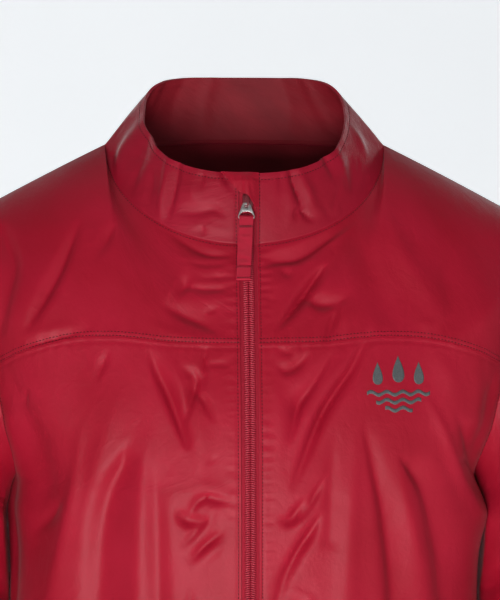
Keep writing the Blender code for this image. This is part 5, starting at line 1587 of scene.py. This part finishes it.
def coloured(tree, shader, value, low, high, start=0.35, end=0.65):
    """Colours that run from low to high with a pattern's value."""
    ramp = tree.nodes.new("ShaderNodeValToRGB")
    first, last = ramp.color_ramp.elements
    first.position, last.position = start, end
    first.color, last.color = (*low, 1.0), (*high, 1.0)
    tree.links.new(value, ramp.inputs["Fac"])
    tree.links.new(ramp.outputs["Color"], shader.inputs["Base Color"])


def roughened(tree, shader, value, low, high):
    """Roughness that runs from low to high with a pattern's value."""
    spread = tree.nodes.new("ShaderNodeMapRange")
    spread.inputs["To Min"].default_value = low
    spread.inputs["To Max"].default_value = high
    tree.links.new(value, spread.inputs["Value"])
    tree.links.new(spread.outputs["Result"], shader.inputs["Roughness"])


def raised(tree, shader, layers):
    """Bumps of the patterns, each with its depth in metres."""
    normal = None
    for value, depth in layers:
        bump = tree.nodes.new("ShaderNodeBump")
        bump.inputs["Distance"].default_value = depth
        tree.links.new(value, bump.inputs["Height"])
        if normal is not None:
            tree.links.new(normal, bump.inputs["Normal"])
        normal = bump.outputs["Normal"]
    tree.links.new(normal, shader.inputs["Normal"])


def nylon_material(name, light, dark):
    """Thin matt nylon with a slight sheen, fine crinkles and a close weave."""
    material, tree, shader = new_material(name, light, 0.46)
    cloudy = pattern(tree, "ShaderNodeTexNoise", "UV", (1.0, 1.0, 1.0), Scale=16.0, Detail=4.0)
    coloured(tree, shader, cloudy, dark, light)
    fine = pattern(tree, "ShaderNodeTexNoise", "UV", (1.0, 1.0, 1.0), Scale=900.0, Detail=2.0)
    roughened(tree, shader, fine, 0.42, 0.54)
    shader.inputs["Specular IOR Level"].default_value = 0.17
    shader.inputs["Sheen Weight"].default_value = 0.03
    shader.inputs["Sheen Roughness"].default_value = 0.35
    crinkle = pattern(tree, "ShaderNodeTexNoise", "UV", (1.0, 0.75, 1.0), Scale=110.0, Detail=4.0,
                      Distortion=0.6)
    small = pattern(tree, "ShaderNodeTexNoise", "UV", (1.0, 1.0, 1.0), Scale=420.0, Detail=2.0)
    warp = pattern(tree, "ShaderNodeTexWave", "UV", (1.0, 0.0, 0.0), Scale=560.0)
    weft = pattern(tree, "ShaderNodeTexWave", "UV", (0.0, 1.0, 0.0), Scale=560.0)
    tree.nodes[-1].bands_direction = "Y"
    raised(tree, shader, ((crinkle, 0.00035), (small, 0.00008), (warp, 0.00002), (weft, 0.00002)))
    return material


def lining_material():
    """The nylon's plain inside, duller and darker."""
    material, tree, shader = new_material("nylon_inside", (0.17, 0.003, 0.009), 0.7)
    shader.inputs["Specular IOR Level"].default_value = 0.25
    cloudy = pattern(tree, "ShaderNodeTexNoise", "UV", (1.0, 1.0, 1.0), Scale=30.0, Detail=4.0)
    coloured(tree, shader, cloudy, (0.140, 0.002, 0.007), (0.190, 0.004, 0.011))
    crinkle = pattern(tree, "ShaderNodeTexNoise", "UV", (1.0, 1.0, 1.0), Scale=150.0, Detail=3.0)
    raised(tree, shader, ((crinkle, 0.0005),))
    return material


def ribbed_material(name, place, colour, dark, roughness, period):
    """Narrow woven tape: ribs across it and a fuzz of fibres."""
    material, tree, shader = new_material(name, colour, roughness)
    shader.inputs["Specular IOR Level"].default_value = 0.22
    ribs = pattern(tree, "ShaderNodeTexWave", place, (1.0, 1.0, 1.0), Scale=0.314 / period)
    tree.nodes[-1].bands_direction = "Z" if place == "Object" else "Y"
    fibres = pattern(tree, "ShaderNodeTexNoise", place, (1.0, 1.0, 1.0), Scale=1600.0, Detail=3.0)
    coloured(tree, shader, ribs, dark, colour, 0.0, 0.8)
    raised(tree, shader, ((ribs, 0.00012), (fibres, 0.0001)))
    return material


def worn_material(name, colour, worn, roughness, metallic, coat):
    """Hard finish with faint wear and small scratches."""
    material, tree, shader = new_material(name, colour, roughness)
    shader.inputs["Metallic"].default_value = metallic
    shader.inputs["Coat Weight"].default_value = coat
    wear = pattern(tree, "ShaderNodeTexNoise", "Object", (1.0, 1.0, 1.0), Scale=420.0, Detail=5.0)
    coloured(tree, shader, wear, colour, worn, 0.5, 0.8)
    scratches = pattern(tree, "ShaderNodeTexNoise", "Object", (6.0, 1.0, 1.0), Scale=700.0)
    roughened(tree, shader, scratches, roughness - 0.06, roughness + 0.12)
    raised(tree, shader, ((scratches, 0.00003),))
    return material


def print_material():
    """Slate ink, slightly cracked over the weave."""
    material, tree, shader = new_material("slate_ink", (0.060, 0.066, 0.068), 0.55)
    speckle = pattern(tree, "ShaderNodeTexNoise", "Object", (1.0, 1.0, 1.0), Scale=900.0,
                      Detail=4.0)
    coloured(tree, shader, speckle, (0.050, 0.054, 0.056), (0.072, 0.078, 0.080))
    raised(tree, shader, ((speckle, 0.00006),))
    return material


# ------------------------------------------------------------------ the jacket

nylon = nylon_material("nylon", (0.310, 0.0050, 0.0205), (0.268, 0.0034, 0.0150))
# the collar's nylon is a darker copy of the nylon: painted shade, for the shadow that a head and
# chin would cast on the collar
shaded_collar_nylon = nylon_material("nylon_collar_painted_shade", (0.266, 0.0046, 0.0192), (0.230, 0.0032, 0.0142))
lining = lining_material()
# the thread is real, but its colour, far darker than the cloth, is partly painted shade of the
# needle holes along the rows
thread = ribbed_material("thread", "Object", (0.060, 0.001, 0.004), (0.040, 0.001, 0.003), 0.6,
                         0.0009)
tape = ribbed_material("zip_tape_weave", "Object", (0.33, 0.004, 0.020), (0.22, 0.002, 0.014), 0.7,
                       0.0008)
ribbon = ribbed_material("ribbon_weave", "UV", (0.37, 0.004, 0.024), (0.30, 0.002, 0.018), 0.6,
                         0.0005)
coil = worn_material("coil_plastic", (0.36, 0.006, 0.026), (0.40, 0.010, 0.034), 0.44, 0.0, 0.0)
enamel = worn_material("slider_enamel", (0.10, 0.003, 0.008), (0.16, 0.02, 0.03), 0.34, 0.0, 0.2)
steel = worn_material("puller_steel", (0.78, 0.75, 0.73), (0.60, 0.58, 0.56), 0.26, 1.0, 0.0)
ink = print_material()

fronts = {side: front_half(side) for side in ("left", "right")}
back, back_underarm = back_whole()
front_left, seam_row, front_underarm = fronts["left"]
front_right = fronts["right"][0]

stitch = thread_pattern()
zipper = zip_line()
fronts_sewn = {}
for side in ("left", "right"):
    whole = fronts[side][0]
    free = "start" if side == "left" else "end"
    seam = "end" if side == "left" else "start"
    front, yoke = whole[:seam_row + 1], whole[seam_row:].copy()
    lift = YOKE_LAP * np.exp(-(np.linalg.norm(yoke - yoke[:1], axis=-1) / 9.0) ** 2)
    yoke += grid_normals(yoke, 1.0) * lift[..., None]
    panel = cloth_piece("front_" + side + "_cloth", stood_back(front, ("top", seam)), 1.0, SHELL,
                        [nylon, lining], "front_" + side)
    cloth_piece("front_yoke_" + side + "_cloth", stood_back(yoke, ("bottom", "top", seam)), 1.0,
                SHELL, [nylon, lining], "front_yoke_" + side)
    if side == "left":
        make_print(panel, ink)
    zip_column = 0 if side == "left" else -1
    side_column = -1 if side == "left" else 0
    inward = 1.0 if side == "left" else -1.0
    faces, yoke_faces = grid_normals(front, 1.0), grid_normals(yoke, 1.0)
    hole = slice(front_underarm + 3, None)
    front_rows = [column_line(front, faces, zip_column, 2.0 * inward),
                  row_line(front, faces, 0, 18.0)]
    armhole = column_line(front, faces, side_column, -2.2 * inward)
    front_rows.append((armhole[0][hole], armhole[1][hole]))
    yoke_rows = [row_line(yoke, yoke_faces, 0, 1.3), row_line(yoke, yoke_faces, 0, 4.1),
                 column_line(yoke, yoke_faces, zip_column, 2.0 * inward),
                 row_line(yoke, yoke_faces, -1, -2.2),
                 column_line(yoke, yoke_faces, side_column, -2.2 * inward)]
    fronts_sewn[side] = (front_rows, yoke_rows)

cloth_piece("back_cloth", stood_back(back, ("top", "start", "end")), -1.0, SHELL, [nylon, lining],
            "back")
collar = collar_whole(neck_line(front_left, back, front_right))
cloth_piece("collar_cloth", collar, 1.0, COLLAR_SHELL, [shaded_collar_nylon, lining],
            "collar")

cuff_rows = []
for side, sign in (("left", 1.0), ("right", -1.0)):
    edges = armhole_edge(fronts[side][0], back, side, (front_underarm, back_underarm))
    sleeve = sleeve_whole(edges, side)
    cloth_piece("sleeve_" + side + "_cloth", stood_back(sleeve, ("bottom",)), sign, SHELL,
                [nylon, lining], "sleeve_" + side,
                closed=True)
    faces = grid_normals(sleeve, sign, closed=True)
    points, outs = row_line(sleeve, faces, -1, -16.0)
    cuff_rows.append((np.concatenate((points, points[:1])), np.concatenate((outs, outs[:1]))))

make_teeth(zipper, coil)
make_slider(zipper, enamel)
make_flap(zipper, collar[1:], nylon)
hanging = puller_place(zipper)
make_puller_plate(hanging, steel)
make_pull_tape(hanging, ribbon)
make_tack(hanging, stitch, thread)

back_faces = grid_normals(back, -1.0)
collar_faces = grid_normals(collar[1:], 1.0)
back_rows = [row_line(back, back_faces, 0, 18.0), row_line(back, back_faces, -1, -2.4)]
for column, inward in ((0, 2.2), (-1, -2.2)):
    points, outs = column_line(back, back_faces, column, inward)
    back_rows.append((points[back_underarm + 3:], outs[back_underarm + 3:]))
collar_rows = [row_line(collar[1:], collar_faces, -1, -5.0),
               column_line(collar[1:], collar_faces, 0, 2.0),
               column_line(collar[1:], collar_faces, -1, -2.0)]
sewn_rows = {"back": back_rows, "collar": collar_rows, "cuffs": cuff_rows}
for side, (front_rows, yoke_rows) in fronts_sewn.items():
    sewn_rows["front_" + side] = front_rows
    sewn_rows["yoke_" + side] = yoke_rows
for name, rows in sewn_rows.items():
    parts = [stitch_row(points, normals) for points, normals in rows]
    centres, along, across, out = (np.concatenate(group) for group in zip(*parts))
    thing = copies("stitches_" + name, stitch, centres, along, across, out, thread)
    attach(thing, "jacket")
bpy.data.objects.remove(stitch)

for name, material in (("zip_tape_left", tape), ("zip_tape_right", tape), ("zip_box", coil)):
    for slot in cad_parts[name].material_slots:
        slot.material = material

# ------------------------------------------------------------------ room, light and camera

def add_room():
    """A plain pale floor well below the hem and a plain pale wall far behind."""
    for name, size, place, turn in (("floor", (60.0, 60.0), (0.0, 0.0, -1.25), 0.0),
                                    ("backdrop", (7.0, 5.0), (0.0, 8.0, 1.4), math.pi / 2)):
        bpy.ops.object.select_all(action="DESELECT")
        bpy.ops.mesh.primitive_plane_add(size=1.0, location=place, rotation=(turn, 0.0, 0.0))
        sheet = bpy.context.object
        sheet.scale = (*size, 1.0)
        apply_place()
        sheet.name = name
        material, tree, shader = new_material(name + "_paint", (0.78, 0.79, 0.80), 0.9)
        mottle = pattern(tree, "ShaderNodeTexNoise", "Object", (1.0, 1.0, 1.0), Scale=3.0)
        coloured(tree, shader, mottle, (0.77, 0.78, 0.79), (0.79, 0.80, 0.81))
        shader.inputs["Emission Color"].default_value = (0.80, 0.82, 0.84, 1.0)
        shader.inputs["Emission Strength"].default_value = 0.72 if name == "backdrop" else 0.24
        sheet.data.materials.append(material)


def add_light(name, place, aim, size, power):
    """A soft box of light in metres and watts, turned to a point."""
    data = bpy.data.lights.new(name, "AREA")
    data.shape = "RECTANGLE"
    data.size, data.size_y = size
    data.energy = power
    light = bpy.data.objects.new(name, data)
    bpy.context.scene.collection.objects.link(light)
    light.location = place
    light.rotation_euler = (Vector(aim) - Vector(place)).to_track_quat("-Z", "Y").to_euler()


def add_lights():
    """A low key light, a weak fill, light from above and behind, and a soft room."""
    add_light("key", (-0.42, -2.66, -0.72), (0.0, 0.0, -0.22), (0.8, 0.8), 69.0)
    add_light("fill", (1.5, -2.2, -0.4), (0.0, 0.0, -0.20), (0.9, 1.2), 6.0)
    add_light("top", (0.0, 0.5, 2.2), (0.0, 0.0, -0.20), (2.0, 1.6), 7.0)
    add_light("back_left", (1.7, 1.9, 0.5), (0.0, 0.0, -0.25), (1.2, 1.6), 26.0)
    add_light("back_right", (-1.7, 1.9, 0.5), (0.0, 0.0, -0.25), (1.2, 1.6), 26.0)
    world = bpy.data.worlds.new("soft_room")
    world.use_nodes = True
    tree = world.node_tree
    place = tree.nodes.new("ShaderNodeTexCoord")
    split = tree.nodes.new("ShaderNodeSeparateXYZ")
    ramp = tree.nodes.new("ShaderNodeValToRGB")
    first, last = ramp.color_ramp.elements
    first.color, last.color = (0.42, 0.43, 0.44, 1.0), (0.13, 0.134, 0.138, 1.0)
    first.position, last.position = 0.04, 0.5
    tree.links.new(place.outputs["Generated"], split.inputs["Vector"])
    tree.links.new(split.outputs["Z"], ramp.inputs["Fac"])
    tree.links.new(ramp.outputs["Color"], tree.nodes["Background"].inputs["Color"])
    bpy.context.scene.world = world


def add_camera():
    """The camera in front of the chest, at the picture's angle and frame."""
    data = bpy.data.cameras.new("camera")
    data.sensor_width = 36.0
    data.lens = 36.0 * EYE_DISTANCE / PICTURE_HEIGHT
    data.clip_start, data.clip_end = 0.05, 60.0
    turn = math.radians(EYE_TURN)
    forward = np.array((-math.sin(turn), math.cos(turn), 0.0))
    camera = bpy.data.objects.new("camera", data)
    bpy.context.scene.collection.objects.link(camera)
    camera.location = (LOOK_AT - forward * EYE_DISTANCE) * MM
    camera.rotation_euler = (math.pi / 2, 0.0, turn)
    bpy.context.scene.camera = camera
    bpy.context.scene.view_settings.view_transform = "Standard"


add_room()
add_lights()
add_camera()
